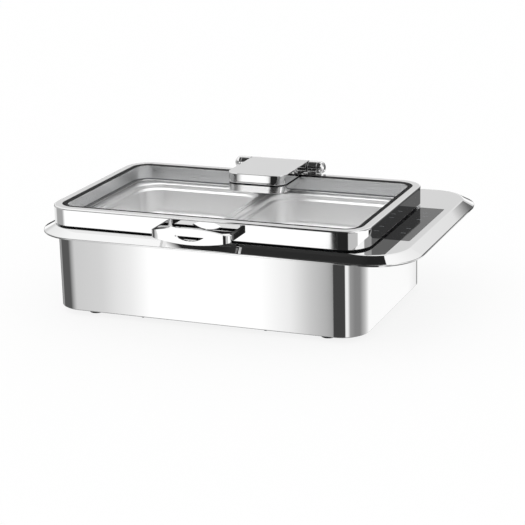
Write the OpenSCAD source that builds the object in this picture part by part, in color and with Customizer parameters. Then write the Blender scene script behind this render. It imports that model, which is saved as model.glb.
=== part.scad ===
// Electric chafing dish with a hinged glass lid, two half size food pans and a touch panel.
// X runs to the right, Y to the back and Z up. The origin lies on the table, under the middle of the whole
// dish. The modules are drawn about the middle of the lid and then moved there.

/* [Food pans] */
// Width of one food pan over its rim
pan_w = 265; // [240:1:290]
// Depth of a food pan over its rim, front to back
pan_d = 325; // [290:1:360]
// Height of a food pan, from its rim down to its inner floor
pan_depth = 65; // [45:1:75]
// Width of the pan's rim
pan_rim = 12; // [9:0.5:15]
// Height of the hem that is turned down from the rim
pan_hem = 3; // [2.5:0.25:4]
// Sheet of the food pans
pan_sheet = 1; // [0.8:0.1:1.2]
// Corner radius of the pan's opening
pan_corner = 42; // [36:1:55]
// Corner radius of the pan's rim
rim_corner = 22; // [21:1:26]
// Radius where the rim bends down into the wall
lip_r = 4; // [3:0.5:5]
// Depth of the stacking shoulder below the rim
shoulder_down = 9; // [7:0.5:12]
// Width of the stacking shoulder
shoulder_w = 3.5; // [2:0.5:5]
// Radius between a pan's wall and its floor
pan_floor_r = 18; // [10:1:24]
// Slope of the pan's wall, in degrees
pan_draft = 4; // [1:0.5:6]
// Gap between the two pans
pan_gap = 1; // [0.8:0.1:3]

/* [Well] */
// Gap between the pans' rims and the recess of the deck round them
seat_gap = 1.5; // [1:0.1:3]
// Depth of the recess below the deck
seat_drop = 5; // [4:0.5:8]
// Width of the ledge that the rims rest on
seat_ledge = 10; // [9:0.5:11.5]
// Depth of the water well
well_depth = 85; // [78:1:95]
// Sheet of the water well
well_sheet = 1.2; // [0.8:0.1:1.5]
// Corner radius of the water well
well_corner = 40; // [30:1:42]
// Radius between the well's wall and its floor
well_floor_r = 12; // [8:1:16]
// Width of the flange that the well hangs from
well_flange = 7; // [5:0.5:8]

/* [Housing] */
// Distance from the recess out to the housing's wall
body_margin = 14.5; // [13:0.5:20]
// Height from the housing's lower edge to the top of the deck
body_h = 145.8; // [138:0.2:170]
// Corner radius of the housing
body_corner = 47; // [38:1:54]
// Sheet of the housing
body_sheet = 1.5; // [1:0.1:1.8]
// Gap between the recess of the deck and the flange at the top of the housing
flange_gap = 2.8; // [0.5:0.1:5]
// Width of the flange at the bottom of the housing
bottom_flange = 14; // [12:0.5:18]
// Thickness of the bottom cover
cover_t = 1.5; // [1:0.1:2]
// Inset of the bottom cover from the housing's wall
cover_inset = 3; // [2:0.5:4]
// Length of one vent slot
vent_len = 36; // [24:1:44]
// Width of one vent slot
vent_w = 3.5; // [2.5:0.5:5]

/* [Feet] */
// Height of a rubber foot
foot_h = 9.5; // [8:0.5:14]
// Radius of a foot at its top
foot_r = 14; // [11:0.5:18]
// Distance from the housing's side to a foot's axis
foot_side = 67.5; // [50:0.5:90]
// Distance from the housing's front or back to a foot's axis
foot_front = 33; // [26:0.5:45]

/* [Deck] */
// Sheet of the deck
deck_sheet = 1.2; // [1:0.1:1.5]
// How much larger the deck's corner radius is than the housing's
corner_more = 15; // [10:1:15]
// Width of the deck beyond the housing on the left
left_shelf = 9.5; // [8:0.5:20]
// Width of the deck beyond the housing at the front
front_shelf = 3.5; // [3:0.5:5]
// Width of the deck beyond the housing on the panel's side
panel_shelf = 65.5; // [62:0.5:80]
// Width of the deck beyond the housing at the back
hinge_shelf = 75; // [69.5:0.5:90]
// Width of the sloping skirt round the deck
skirt_w = 20.5; // [14:0.5:28]
// Drop of the sloping skirt
skirt_drop = 10.8; // [7:0.2:14]
// Height of the hem under the skirt
skirt_hem = 3; // [2:0.5:5]

/* [Lid] */
// Distance from the recess out to the lid's sides
lid_side = 20; // [18:0.5:21]
// Distance from the recess out to the lid's front and back
lid_front = 14; // [13:0.5:16]
// Height of the lid's frame
lid_h = 31; // [28:0.5:36]
// Gap between the deck and the lid's lower edge
lid_gap = 3.2; // [2.5:0.1:4]
// Corner radius of the lid
lid_corner = 45; // [40:1:52]
// Sheet of the lid's frame
lid_sheet = 1.2; // [1:0.1:1.4]
// Radius of the frame's upper outer edge
lid_edge_r = 3; // [2:0.5:4]
// Width of the polished ledge round the glass
lid_ledge = 14; // [11:0.5:16]
// Width of the rebate that the glass lies on
glass_seat = 9; // [7:0.5:10]
// Thickness of the glass
glass_t = 5; // [4:0.5:6]
// Gap between the glass and the frame, filled by the gasket
glass_gap = 1.2; // [1:0.1:1.8]
// Thickness of the gasket under the glass
gasket_t = 0.6; // [0.4:0.1:1]
// Distance from the lid's edge to the seal
seal_inset = 7; // [6.5:0.1:7.4]
// Width of the seal under the frame
seal_w = 4.5; // [3:0.1:4.9]

/* [Hinge] */
// Distance from the lid's back edge to the hinge axis
hinge_back = 21; // [18:0.5:26]
// Radius of the hinge barrel
barrel_r = 12; // [11:0.25:13]
// Radius of the hinge pin
pin_r = 5; // [4:0.25:6]
// Width of the hinge block on the glass
block_w = 112; // [90:1:130]
// Length of the hinge block, from its front to the hinge axis
block_len = 132.5; // [110:0.5:150]
// Height of the hinge block
block_h = 16.6; // [14:0.2:20]
// Corner radius at the front of the hinge block
block_corner = 24; // [14:1:30]
// Chamfer round the top of the hinge block
block_chamfer = 1; // [0.5:0.1:1.4]
// Length of the clamp plate under the glass
clamp_len = 84; // [70:1:86]
// Thickness of the clamp plate under the glass
clamp_t = 12; // [9.5:0.5:14]
// Thickness of the pad between the hinge block and the glass
pad_t = 1.4; // [1:0.1:2]
// Width of one fixed cheek of the hinge
cheek_w = 17; // [15:0.5:28]
// Length of an end cap of the hinge
cap_t = 13; // [10:0.5:18]
// Radius that rounds an end cap
cap_round = 9; // [4:0.5:9.5]
// Gap between the block's barrel and a cheek
cheek_gap = 1.5; // [1.2:0.1:2.5]
// Thickness of the hinge's foot plate
base_t = 4; // [3:0.5:5]
// Thickness of the backing plate under the deck
backing_t = 3; // [2:0.5:4]

/* [Handle] */
// Width of the handle
handle_w = 142; // [110:1:160]
// Distance from the lid to the handle's front face
handle_reach = 39; // [32:0.5:50]
// Height of the handle in its middle
handle_h = 27.5; // [24:0.5:34]
// Height of the handle at its ends
handle_end_h = 10.5; // [10:0.5:14]
// Thickness of the handle
handle_t = 5; // [4.5:0.25:7]
// Corner radius where the grip turns back into an arm
handle_bend = 11; // [8:0.5:14]
// Width of the hole through the grip
grip_hole_w = 52; // [40:1:60]
// Height of the hole through the grip
grip_hole_h = 15.2; // [10:0.2:18]
// Height of the handle's middle above the lid's lower edge
handle_up = 12; // [10:0.5:14]

/* [Touch panel] */
// Width of the black glass panel
panel_w = 43.5; // [36:0.5:46]
// Length of the black glass panel
panel_len = 209.5; // [160:0.5:230]
// Thickness of the black glass panel
panel_t = 4; // [3:0.25:5]
// Gap between the lid's side and the panel
panel_off = 3.5; // [3:0.25:5]
// How far the panel's middle lies behind the middle of the lid
panel_back = 20.5; // [0:0.5:40]
// Radius of the panel's corners
panel_corner = 3; // [2:0.5:6]
// Depth of the control box under the deck
box_depth = 24; // [20:0.5:25]

/* [Heater] */
// Diameter of the tubular heating element
tube_d = 6.6; // [6:0.1:8]
// Distance between neighbouring legs of the element
leg_pitch = 60; // [46:1:64]
// Length of the element's straight legs
leg_len = 300; // [240:5:330]
// Thickness of the aluminium spreader plate
spreader_t = 3; // [2:0.5:4]
// Thickness of the insulation
insulation_t = 8; // [5:0.5:9]

/* [Power inlet] */
// Distance from the housing's right side to the inlet's middle
inlet_side = 81.5; // [76:0.5:110]
// Height of the inlet's middle above the housing's lower edge
inlet_up = 25; // [22:1:26]

/* [Hidden] */

$fn = 48;

// Colours, as the photograph shows them
polished = "gainsboro";
satin = "silver";
dark_glass = "#15171a";
rubber = "#1b1b1b";
brass = "#c9a24d";
board_green = "#1f6b45";

// Small clearances
run_gap = 0.3;   // between a moving piece and a fixed one
bore_gap = 0.05; // round a pin or a screw in its hole
drill_gap = 0.4; // round a screw in a sheet

// Heights
housing_z = foot_h + cover_t;
deck_top = housing_z + body_h;
deck_under = deck_top - deck_sheet;
seat_z = deck_top - seat_drop;
well_top = seat_z - deck_sheet;
well_floor = well_top - well_depth;
well_under = well_floor - well_sheet;
rim_top = seat_z + pan_hem;
lid_z = deck_top + lid_gap;
lid_top = lid_z + lid_h;
cover_top = foot_h + cover_t;

// Plan sizes
recess_w = 2 * pan_w + pan_gap + 2 * seat_gap;
recess_d = pan_d + 2 * seat_gap;
recess_corner = rim_corner + seat_gap;
well_w = recess_w - 2 * seat_ledge;
well_d = recess_d - 2 * seat_ledge;
body_w = recess_w + 2 * body_margin;
body_d = recess_d + 2 * body_margin;
liner_inset = lid_front + seat_gap - 0.5;
lid_w = recess_w + 2 * lid_side;
lid_d = recess_d + 2 * lid_front;
deck_corner = body_corner + corner_more;
deck_w = body_w + left_shelf + panel_shelf;
deck_d = body_d + front_shelf + hinge_shelf;
deck_x = (panel_shelf - left_shelf) / 2;
deck_y = (hinge_shelf - front_shelf) / 2;

// Hinge places
axis_y = lid_d / 2 + hinge_back;
block_z = lid_top + pad_t;
block_top = block_z + block_h;
axis_z = block_top - barrel_r;
block_front = axis_y - block_len;
cheek_x = block_w / 2 + cheek_gap;
cap_x = cheek_x + cheek_w;
base_back = 26;
base_d = 2 * barrel_r + base_back;
base_front = axis_y - barrel_r;
base_holes = [[-0.3 * block_w, axis_y], [0.3 * block_w, axis_y],
    [-cheek_x - cheek_w / 2, axis_y + barrel_r + base_back / 2 + 1],
    [cheek_x + cheek_w / 2, axis_y + barrel_r + base_back / 2 + 1]];
base_screw_d = 5;

// Screws that clamp the glass between the hinge block and the plate under it
clamp_screw_d = 6;
clamp_rows = [clamp_len * 0.3, clamp_len * 0.78];
clamp_cols = [-block_w * 0.32, block_w * 0.32];
bushing_r = 4.8;
clamp_top = lid_top - glass_t - pad_t * 0.7;
sleeve_r = barrel_r - 3;
bushing_len = 14;
damper_len = block_w - 2 * bushing_len - 2;

// Handle places
handle_y = -lid_d / 2 - handle_reach;
handle_z = lid_z + handle_up;
arm_x = handle_w / 2 - handle_t / 2;
middle_x = deck_x;
middle_y = (deck_y + deck_d / 2 + skirt_w + handle_y) / 2;
handle_screw_d = 3;
handle_screw_in = 11;

// Panel places
panel_x = lid_w / 2 + panel_off + panel_w / 2;
panel_clear = 0.4;
box_wall = 2;
box_w = panel_w + 2 * box_wall + 9;
box_len = panel_len + 2 * box_wall + 12;
box_x = panel_x + 0.5;
box_floor = deck_under - box_depth;
panel_floor = deck_top - panel_t;
foam_t = 1.2;
touch_board_t = 1.6;
touch_w = panel_w - 6;
touch_len = panel_len - 12;
touch_z = panel_floor - foam_t - touch_board_t;
nut_room = 3.2;
nut_spots = [[-box_w / 2 + nut_room, -box_len / 2 + nut_room], [box_w / 2 - nut_room, -box_len / 2 + nut_room],
    [-box_w / 2 + nut_room, box_len / 2 - nut_room], [box_w / 2 - nut_room, box_len / 2 - nut_room]];
stud_d = 3;
stud_len = 9;
stud_land = 6;
stud_nut_h = 2.4;
cable_d = 3.6;
grommet_r = cable_d / 2 + 3;
cable_y = panel_back + 15;
cable_z = touch_z - 9;

// Heater places
tube_r = tube_d / 2;
spreader_side = 32;
spreader_end = 31;
spreader_w = well_w - 2 * spreader_side;
spreader_d = well_d - 2 * spreader_end;
spreader_z = well_under - spreader_t;
tube_z = spreader_z - tube_r;
strap_t = 2;
strap_w = 12;
strap_z = spreader_z - tube_d - strap_t;
strap_spots = [-0.35 * leg_len, 0, 0.35 * leg_len];
strap_stud_d = 4;
strap_stud_len = 26.5;
strap_stud_end = spreader_z - strap_stud_len;
nut_h = 3.2;
nut_r = 4;
shield_t = 1;
shield_z = strap_stud_end + nut_h;
leg_end = leg_len / 2 + 20;
pin_len = 26;
sensor_x = spreader_w / 2 + 15;
cutout_y = 60;
cutout_h = 15;
tab_x = 3.2;
probe_r = 2.6;
probe_len = 28;

// Electronics places
board_w = 110;
board_d = 84;
board_t = 1.6;
board_shift = 34;
board_back = 88;
inlet_x = body_w / 2 - inlet_side;
board_x = inlet_x - board_shift;
board_y = body_d / 2 - board_back;
standoff_h = 7;
board_z = cover_top + standoff_h;
board_top = board_z + board_t;
board_corners = [[-board_w / 2 + 5, -board_d / 2 + 5], [board_w / 2 - 5, -board_d / 2 + 5],
    [-board_w / 2 + 5, board_d / 2 - 5], [board_w / 2 - 5, board_d / 2 - 5]];
terminal_h = 10;
mains_y = board_y + board_d / 2 - 16;
heater_x = board_x + board_w / 2 - 7;
plug_x = board_x + 26;
plug_y = board_y - board_d / 2 + 8;
plug_h = 6;
lead_bend = 3;
lead_out = 7;
probe_lead_run = 30;
tag_len = 9;
wire_r = 1.4;
inlet_z = housing_z + inlet_up;
inlet_w = 28;
inlet_h = 21;
inlet_len = 24;
inlet_screw_x = 20;
pin_spots = [[-7, -2], [7, -2], [0, 2.5]];
pin_size = [2, 4];
pin_tab = 8;
earth_x = inlet_x - 50;
earth_y = body_d / 2 - bottom_flange - 16;

// Moves a piece from the middle of the lid to the middle of the whole dish
module placed() {
    translate([-middle_x, -middle_y, 0]) children();
}

// Flat rounded rectangle, centred
module rounded(w, d, r) {
    square([w - 2 * r, d], center = true);
    square([w, d - 2 * r], center = true);
    for (x = [-1, 1], y = [-1, 1])
        translate([x * (w / 2 - r), y * (d / 2 - r)]) circle(r);
}

// Flat ring between two rounded rectangles that share their middle
module flat_ring(w, d, r, inner_w, inner_d, inner_r) {
    difference() {
        rounded(w, d, r);
        rounded(inner_w, inner_d, inner_r);
    }
}

// Carries a profile round a rounded rectangle. The profile's x points outward from the line, its y up.
module sweep(w, d, r) {
    for (i = [0:3]) {
        a = i % 2 == 0 ? w : d;
        b = i % 2 == 0 ? d : w;
        rotate([0, 0, 90 * i]) {
            translate([a / 2 - r, b / 2 - r, 0])
                rotate_extrude(angle = 90)
                    translate([r, 0]) children();
            translate([a / 2, b / 2 - r, 0])
                rotate([90, 0, 0])
                    linear_extrude(b - 2 * r) children();
        }
    }
}

// Quarter of a bent sheet, with its outer radius r round the origin, in the quadrant that sx and sy name
module bend(r, t, sx, sy) {
    intersection() {
        difference() {
            circle(r);
            circle(r - t);
        }
        translate([min(sx, 0) * r, min(sy, 0) * r]) square(r);
    }
}

// Lens shape: two equal arcs that meet at the sides, w wide and h high
module lens(w, h) {
    arc_r = (w * w + h * h) / (4 * h);
    intersection() {
        translate([0, h / 2 - arc_r]) circle(arc_r, $fn = 160);
        translate([0, arc_r - h / 2]) circle(arc_r, $fn = 160);
    }
}

// Unit vector of v
function unit(v) = v / norm(v);

// Set back of a bend of radius bend_r at point i of a path
function setback(path, i, bend_r) =
    let (u = unit(path[i] - path[i - 1]), v = unit(path[i + 1] - path[i]))
    bend_r * tan(acos(u * v) / 2);

// Round wire of radius r along a path, with bends of radius bend_r
module wire(path, r, bend_r = 4) {
    last = len(path) - 1;
    for (i = [0:last - 1]) {
        u = unit(path[i + 1] - path[i]);
        start = i == 0 ? 0 : setback(path, i, bend_r);
        end = i == last - 1 ? 0 : setback(path, i + 1, bend_r);
        translate(path[i] + start * u)
            rotate([0, acos(u[2]), atan2(u[1], u[0])])
                cylinder(r = r, h = norm(path[i + 1] - path[i]) - start - end, $fn = 16);
        if (i > 0) {
            back = unit(path[i] - path[i - 1]);
            n = unit(cross(back, u));
            out = cross(back, n);
            c = path[i] - back * start - out * bend_r;
            multmatrix([[out[0], back[0], n[0], c[0]], [out[1], back[1], n[1], c[1]],
                [out[2], back[2], n[2], c[2]], [0, 0, 0, 1]])
                rotate_extrude(angle = acos(back * u), $fn = 32)
                    translate([bend_r, 0]) circle(r, $fn = 16);
        }
    }
}

// Screw with its head's underside at the origin, its shank down and its head up
module screw(d, head_d, head_h, len) {
    translate([0, 0, -len]) cylinder(d = d, h = len, $fn = 24);
    difference() {
        cylinder(d = head_d, h = head_h, $fn = 24);
        translate([0, 0, head_h * 0.4]) cylinder(d = d * 0.7, h = head_h, $fn = 6);
    }
}

// Hexagon nut round a stud of diameter d
module nut(r, d, h) {
    difference() {
        cylinder(r = r, h = h, $fn = 6);
        translate([0, 0, -1]) cylinder(d = d + 2 * bore_gap, h = h + 2, $fn = 24);
    }
}

// Housing: wall, top flange under the deck, bottom flange over the cover
module housing_shell() {
    h = body_h - deck_sheet;
    t = body_sheet;
    clear = deck_sheet + flange_gap;
    color(polished) difference() {
        translate([0, 0, housing_z]) {
            sweep(body_w, body_d, body_corner)
                polygon([[0, 0], [0, h], [-t, h], [-t, t], [-t - bottom_flange, t], [-t - bottom_flange, 0]]);
            translate([0, 0, h - t]) linear_extrude(t)
                flat_ring(body_w - t, body_d - t, body_corner - t / 2,
                    recess_w + 2 * clear, recess_d + 2 * clear, recess_corner + clear);
        }
        // opening and screw holes of the inlet
        translate([inlet_x, body_d / 2 - t / 2, inlet_z]) {
            cube([inlet_w + 2 * drill_gap, 3 * t, inlet_h + 2 * drill_gap], center = true);
            for (x = [-inlet_screw_x, inlet_screw_x])
                translate([x, 0, 0]) rotate([90, 0, 0])
                    cylinder(d = 3 + 2 * bore_gap, h = 3 * t, center = true, $fn = 24);
        }
        // hole of the cable grommet
        translate([body_w / 2 - t / 2, cable_y, cable_z]) rotate([0, 90, 0])
            cylinder(r = grommet_r, h = 3 * t, center = true);
        // holes of the cover screws
        for (p = cover_holes())
            translate([p[0], p[1], housing_z - 1]) cylinder(d = 3 + 2 * bore_gap, h = t + 2, $fn = 24);
    }
}

// Places of the screws that hold the bottom cover: along the sides and across the front and back
function cover_holes() =
    let (x = body_w / 2 - body_sheet - bottom_flange / 2, y = body_d / 2 - body_sheet - bottom_flange / 2)
    concat(
        [for (sx = [-1, 1], sy = [-1, 1]) [sx * x, sy * body_d / 5]],
        [for (sx = [-1, 1], sy = [-1, 1]) [sx * body_w / 5, sy * y]]);

// Places of the four feet
function foot_spots() =
    [for (sx = [-1, 1], sy = [-1, 1])
        [sx * (body_w / 2 - foot_side), sy * (body_d / 2 - foot_front)]];

// Bottom cover: flat plate with vent slots
module bottom_cover() {
    color(satin) translate([0, 0, foot_h]) linear_extrude(cover_t) difference() {
        rounded(body_w - 2 * cover_inset, body_d - 2 * cover_inset, body_corner - cover_inset);
        for (p = cover_holes())
            translate(p) circle(d = 3 + 2 * bore_gap, $fn = 24);
        for (p = foot_spots())
            translate(p) circle(d = 4 + 2 * bore_gap, $fn = 24);
        for (c = board_corners)
            translate([board_x + c[0], board_y + c[1]]) circle(d = 3 + 2 * bore_gap, $fn = 24);
        translate([earth_x, earth_y]) circle(d = 4 + 2 * bore_gap, $fn = 24);
        // two fields of slots, left of the board
        for (row = [-1, 1], i = [-4:4])
            translate([-body_w / 6 + i * 14, row * body_d / 7])
                rounded(vent_w, vent_len, vent_w / 2 - 0.01);
    }
}

// Screws of the bottom cover
module cover_screws() {
    color(satin) for (p = cover_holes())
        translate([p[0], p[1], foot_h]) mirror([0, 0, 1])
            screw(3, 6, 2, cover_t + body_sheet + 3);
}

// Rubber feet, narrower at the bottom, with a pocket for the screw's head
module rubber_feet() {
    color(rubber) for (p = foot_spots())
        translate([p[0], p[1], 0]) difference() {
            cylinder(r1 = foot_r - 2, r2 = foot_r, h = foot_h);
            translate([0, 0, -1]) cylinder(d = 4 + 2 * bore_gap, h = foot_h + 2, $fn = 24);
            translate([0, 0, -1]) cylinder(d = 9, h = foot_h / 2 + 1);
        }
}

// Screws of the feet, with nuts on the cover
module foot_screws() {
    color(satin) for (p = foot_spots())
        translate([p[0], p[1], 0]) {
            translate([0, 0, foot_h / 2]) mirror([0, 0, 1])
                screw(4, 8, 2.4, foot_h / 2 + cover_t + nut_h + 1);
            translate([0, 0, cover_top]) nut(nut_r, 4, nut_h);
        }
}

// Deck: one sheet with a sloping skirt, the recess of the pans and the opening of the panel
module deck_tray() {
    t = deck_sheet;
    fall = skirt_drop * (skirt_w - t) / skirt_w;
    color(polished) {
        difference() {
            translate([deck_x, deck_y, deck_under])
                linear_extrude(t) rounded(deck_w, deck_d, deck_corner);
            translate([0, 0, deck_under - 1])
                linear_extrude(t + 2) rounded(recess_w + 2 * t, recess_d + 2 * t, recess_corner + t);
            translate([panel_x, panel_back, deck_under - 1])
                linear_extrude(t + 2)
                    rounded(panel_w + 2 * panel_clear, panel_len + 2 * panel_clear, panel_corner);
            for (p = base_holes)
                translate([p[0], p[1], deck_under - 1])
                    cylinder(d = base_screw_d + 2 * bore_gap, h = t + 2, $fn = 24);
        }
        // skirt and hem
        translate([deck_x, deck_y, deck_top])
            sweep(deck_w, deck_d, deck_corner)
                polygon([[0, 0], [skirt_w, -skirt_drop], [skirt_w, -skirt_drop - skirt_hem],
                    [skirt_w - t, -skirt_drop - skirt_hem], [skirt_w - t, -fall - t], [0, -t]]);
        // wall and ledge of the recess
        translate([0, 0, deck_top])
            sweep(recess_w, recess_d, recess_corner)
                translate([0, -seat_drop - t]) square([t, seat_drop + t]);
        translate([0, 0, seat_z - t]) linear_extrude(t)
            flat_ring(recess_w, recess_d, recess_corner, well_w, well_d, well_corner);
        // welded studs of the control box
        for (p = nut_spots)
            translate([box_x + p[0], panel_back + p[1], deck_under - stud_len])
                cylinder(d = stud_d, h = stud_len, $fn = 24);
    }
}

// Water well: flange, straight wall, round floor edge
module water_well() {
    t = well_sheet;
    r = well_floor_r;
    color(satin) {
        translate([0, 0, well_top - t]) linear_extrude(t)
            flat_ring(well_w + 2 * well_flange, well_d + 2 * well_flange, well_corner + well_flange,
                well_w, well_d, well_corner);
        sweep(well_w, well_d, well_corner) {
            translate([0, well_floor + r]) square([t, well_top - t - well_floor - r]);
            translate([-r, well_floor + r]) bend(r + t, t, 1, -1);
        }
        translate([0, 0, well_under]) linear_extrude(t)
            rounded(well_w - 2 * r, well_d - 2 * r, well_corner - r);
    }
}

// Half size food pan, with its middle at the origin: rim with hem, sloping wall, round floor edge
module food_pan() {
    t = pan_sheet;
    r = pan_floor_r;
    open_w = pan_w - 2 * pan_rim;
    open_d = pan_d - 2 * pan_rim;
    step = -shoulder_down - shoulder_w;
    wall_h = pan_depth + step - r;
    lean = shoulder_w + round(100 * wall_h * tan(pan_draft)) / 100;
    color(satin) translate([0, 0, rim_top]) {
        translate([0, 0, -t]) linear_extrude(t)
            flat_ring(pan_w, pan_d, rim_corner,
                open_w + 2 * lip_r, open_d + 2 * lip_r, pan_corner + lip_r);
        translate([0, 0, -pan_hem]) linear_extrude(pan_hem - t)
            flat_ring(pan_w, pan_d, rim_corner, pan_w - 2 * t, pan_d - 2 * t, rim_corner - t);
        sweep(open_w, open_d, pan_corner) {
            translate([lip_r, -lip_r]) bend(lip_r, t, -1, 1);
            polygon([[0, -lip_r], [t, -lip_r], [t, -shoulder_down], [t - shoulder_w, step],
                [t - lean, r - pan_depth], [-lean, r - pan_depth], [-shoulder_w, step], [0, -shoulder_down]]);
            translate([-lean - r, r - pan_depth]) bend(r + t, t, 1, -1);
        }
        translate([0, 0, -pan_depth - t]) linear_extrude(t)
            rounded(open_w - 2 * lean - 2 * r, open_d - 2 * lean - 2 * r, pan_corner - lean - r);
    }
}

module food_pan_left() {
    translate([-(pan_w + pan_gap) / 2, 0, 0]) food_pan();
}

module food_pan_right() {
    translate([(pan_w + pan_gap) / 2, 0, 0]) food_pan();
}

// Aluminium plate that spreads the heat under the well, with its welded studs
module heat_spreader() {
    color("lightgray") {
        translate([0, 0, spreader_z]) linear_extrude(spreader_t)
            rounded(spreader_w, spreader_d, 20);
        for (x = strap_spots, y = [-leg_pitch, leg_pitch])
            translate([x, y, strap_stud_end])
                cylinder(d = strap_stud_d, h = strap_stud_len, $fn = 24);
    }
}

// Tubular element: one tube in four legs, with a cold pin at each end
module heating_element() {
    far = (leg_len + leg_pitch) / 2;
    y = [-1.5, -0.5, 0.5, 1.5] * leg_pitch;
    color("#6f6a66") translate([0, 0, tube_z]) {
        wire([[leg_end, y[0], 0], [-far, y[0], 0], [-far, y[1], 0], [far, y[1], 0],
            [far, y[2], 0], [-far, y[2], 0], [-far, y[3], 0], [leg_end, y[3], 0]], tube_r, leg_pitch / 2 - 2);
        for (i = [0, 3])
            translate([leg_end, y[i], 0]) rotate([0, 90, 0])
                cylinder(r = tube_r * 0.45, h = pin_len, $fn = 24);
    }
}

// Bars that press the element against the spreader
module element_straps() {
    color(satin) for (x = strap_spots)
        translate([x, 0, strap_z]) linear_extrude(strap_t) difference() {
            rounded(strap_w, 3 * leg_pitch + 2 * strap_w, 3);
            for (y = [-leg_pitch, leg_pitch])
                translate([0, y]) circle(d = strap_stud_d + 2 * bore_gap, $fn = 24);
        }
}

// Nuts under the bars and under the heat shield
module strap_nuts() {
    color(satin) for (x = strap_spots, y = [-leg_pitch, leg_pitch], z = [strap_z - nut_h, shield_z - nut_h])
        translate([x, y, z]) nut(nut_r, strap_stud_d, nut_h);
}

// Mineral wool pad on the heat shield
module insulation_pad() {
    color("wheat") translate([0, 0, shield_z + shield_t]) linear_extrude(insulation_t) difference() {
        rounded(spreader_w, spreader_d, 20);
        for (x = strap_spots, y = [-leg_pitch, leg_pitch])
            translate([x, y]) circle(d = strap_stud_d + 1, $fn = 24);
    }
}

// Thin plate that carries the insulation
module heat_shield() {
    color(satin) translate([0, 0, shield_z]) linear_extrude(shield_t) difference() {
        rounded(spreader_w + 8, spreader_d + 8, 22);
        for (x = strap_spots, y = [-leg_pitch, leg_pitch])
            translate([x, y]) circle(d = strap_stud_d + 2 * bore_gap, $fn = 24);
    }
}

// Thermal cut-out under the well's floor, with two blade tabs
module thermal_cutout() {
    color("dimgray") translate([sensor_x, cutout_y, well_under]) {
        translate([0, 0, -1]) linear_extrude(1) rounded(9, 30, 3);
        translate([0, 0, -8]) cylinder(d = 15, h = 7);
        for (x = [-tab_x, tab_x])
            translate([x - 0.4, -2, -cutout_h]) cube([0.8, 4, cutout_h - 8]);
    }
}

// Temperature probe: a capsule that lies against the well's floor
module temperature_probe() {
    color(satin) translate([sensor_x, -leg_pitch, well_under - probe_r]) rotate([90, 0, 0])
        cylinder(r = probe_r, h = probe_len, center = true, $fn = 32);
}

// Clip that holds the probe
module probe_clip() {
    color(satin) translate([sensor_x, -leg_pitch, well_under]) rotate([90, 0, 0])
        linear_extrude(8, center = true) {
            difference() {
                translate([0, -probe_r]) circle(probe_r + 1);
                translate([0, -probe_r]) circle(probe_r + bore_gap);
                translate([-5, -probe_r]) square([10, 2 * probe_r]);
            }
            for (s = [-1, 1]) {
                translate([s * (probe_r + 0.525) - 0.475, -probe_r]) square([0.95, probe_r]);
                translate([s * (probe_r + 2.5) - 2, -1]) square([4, 1]);
            }
        }
}

// Power board over the bottom cover
module power_board() {
    color(board_green) translate([board_x, board_y, board_z]) linear_extrude(board_t) difference() {
        square([board_w, board_d], center = true);
        for (c = board_corners)
            translate(c) circle(d = 3 + 2 * bore_gap, $fn = 24);
    }
}

// Relay on the power board
module board_relay() {
    color("steelblue") translate([board_x - 20, board_y + 12, board_top])
        linear_extrude(14) rounded(20, 26, 1);
}

// Small transformer on the power board: core with its winding
module board_transformer() {
    color("goldenrod") translate([board_x - 20, board_y - 20, board_top]) {
        linear_extrude(13) rounded(16, 22, 1);
        translate([0, 0, 2]) linear_extrude(9) rounded(24, 14, 3);
    }
}

// Terminal blocks on the power board: mains at the back, heater at the right, small plugs in front
module board_terminals() {
    color("#2b5d3a") translate([0, 0, board_top]) {
        translate([inlet_x, mains_y, 0]) linear_extrude(terminal_h) rounded(30, 9, 0.5);
        translate([heater_x, board_y, 0]) linear_extrude(terminal_h) rounded(9, 22, 0.5);
        translate([plug_x, plug_y, 0]) linear_extrude(plug_h) rounded(24, 7, 0.5);
    }
}

// Standoffs under the power board
module board_standoffs() {
    color(brass) for (c = board_corners)
        translate([board_x + c[0], board_y + c[1], cover_top]) difference() {
            cylinder(r = 3, h = standoff_h, $fn = 24);
            translate([0, 0, -1]) cylinder(d = 3 + 2 * bore_gap, h = standoff_h + 2, $fn = 24);
        }
}

// Screws through the board, the standoffs and the cover, with nuts on the board
module board_screws() {
    color(satin) for (c = board_corners)
        translate([board_x + c[0], board_y + c[1], foot_h]) {
            mirror([0, 0, 1]) screw(3, 5.5, 2, cover_t + standoff_h + board_t + 3.4);
            translate([0, 0, board_top - foot_h]) nut(3, 3, 2.4);
        }
}

// Mains inlet: flange outside the wall, body inside it, socket open to the back
module mains_inlet() {
    color(rubber) translate([inlet_x, body_d / 2, inlet_z]) difference() {
        union() {
            rotate([-90, 0, 0]) linear_extrude(3) rounded(50, inlet_h + 5, 5);
            translate([-inlet_w / 2, -inlet_len, -inlet_h / 2]) cube([inlet_w, inlet_len + 1, inlet_h]);
        }
        // socket
        translate([0, 4, 0]) rotate([90, 0, 0]) linear_extrude(22) rounded(24.4, 16.6, 3);
        for (x = [-inlet_screw_x, inlet_screw_x])
            translate([x, 1, 0]) rotate([90, 0, 0])
                cylinder(d = 3 + 2 * bore_gap, h = 8, center = true, $fn = 24);
        for (p = pin_spots)
            translate([p[0], 0, p[1]]) cube([pin_size[0] + 2 * bore_gap, 80, pin_size[1] + 2 * bore_gap],
                center = true);
    }
}

// Contact pins of the inlet, with their tabs inside
module inlet_pins() {
    color(brass) translate([inlet_x, body_d / 2, inlet_z]) for (p = pin_spots)
        translate([p[0] - pin_size[0] / 2, -inlet_len - pin_tab, p[1] - pin_size[1] / 2])
            cube([pin_size[0], inlet_len + pin_tab - 2, pin_size[1]]);
}

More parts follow.
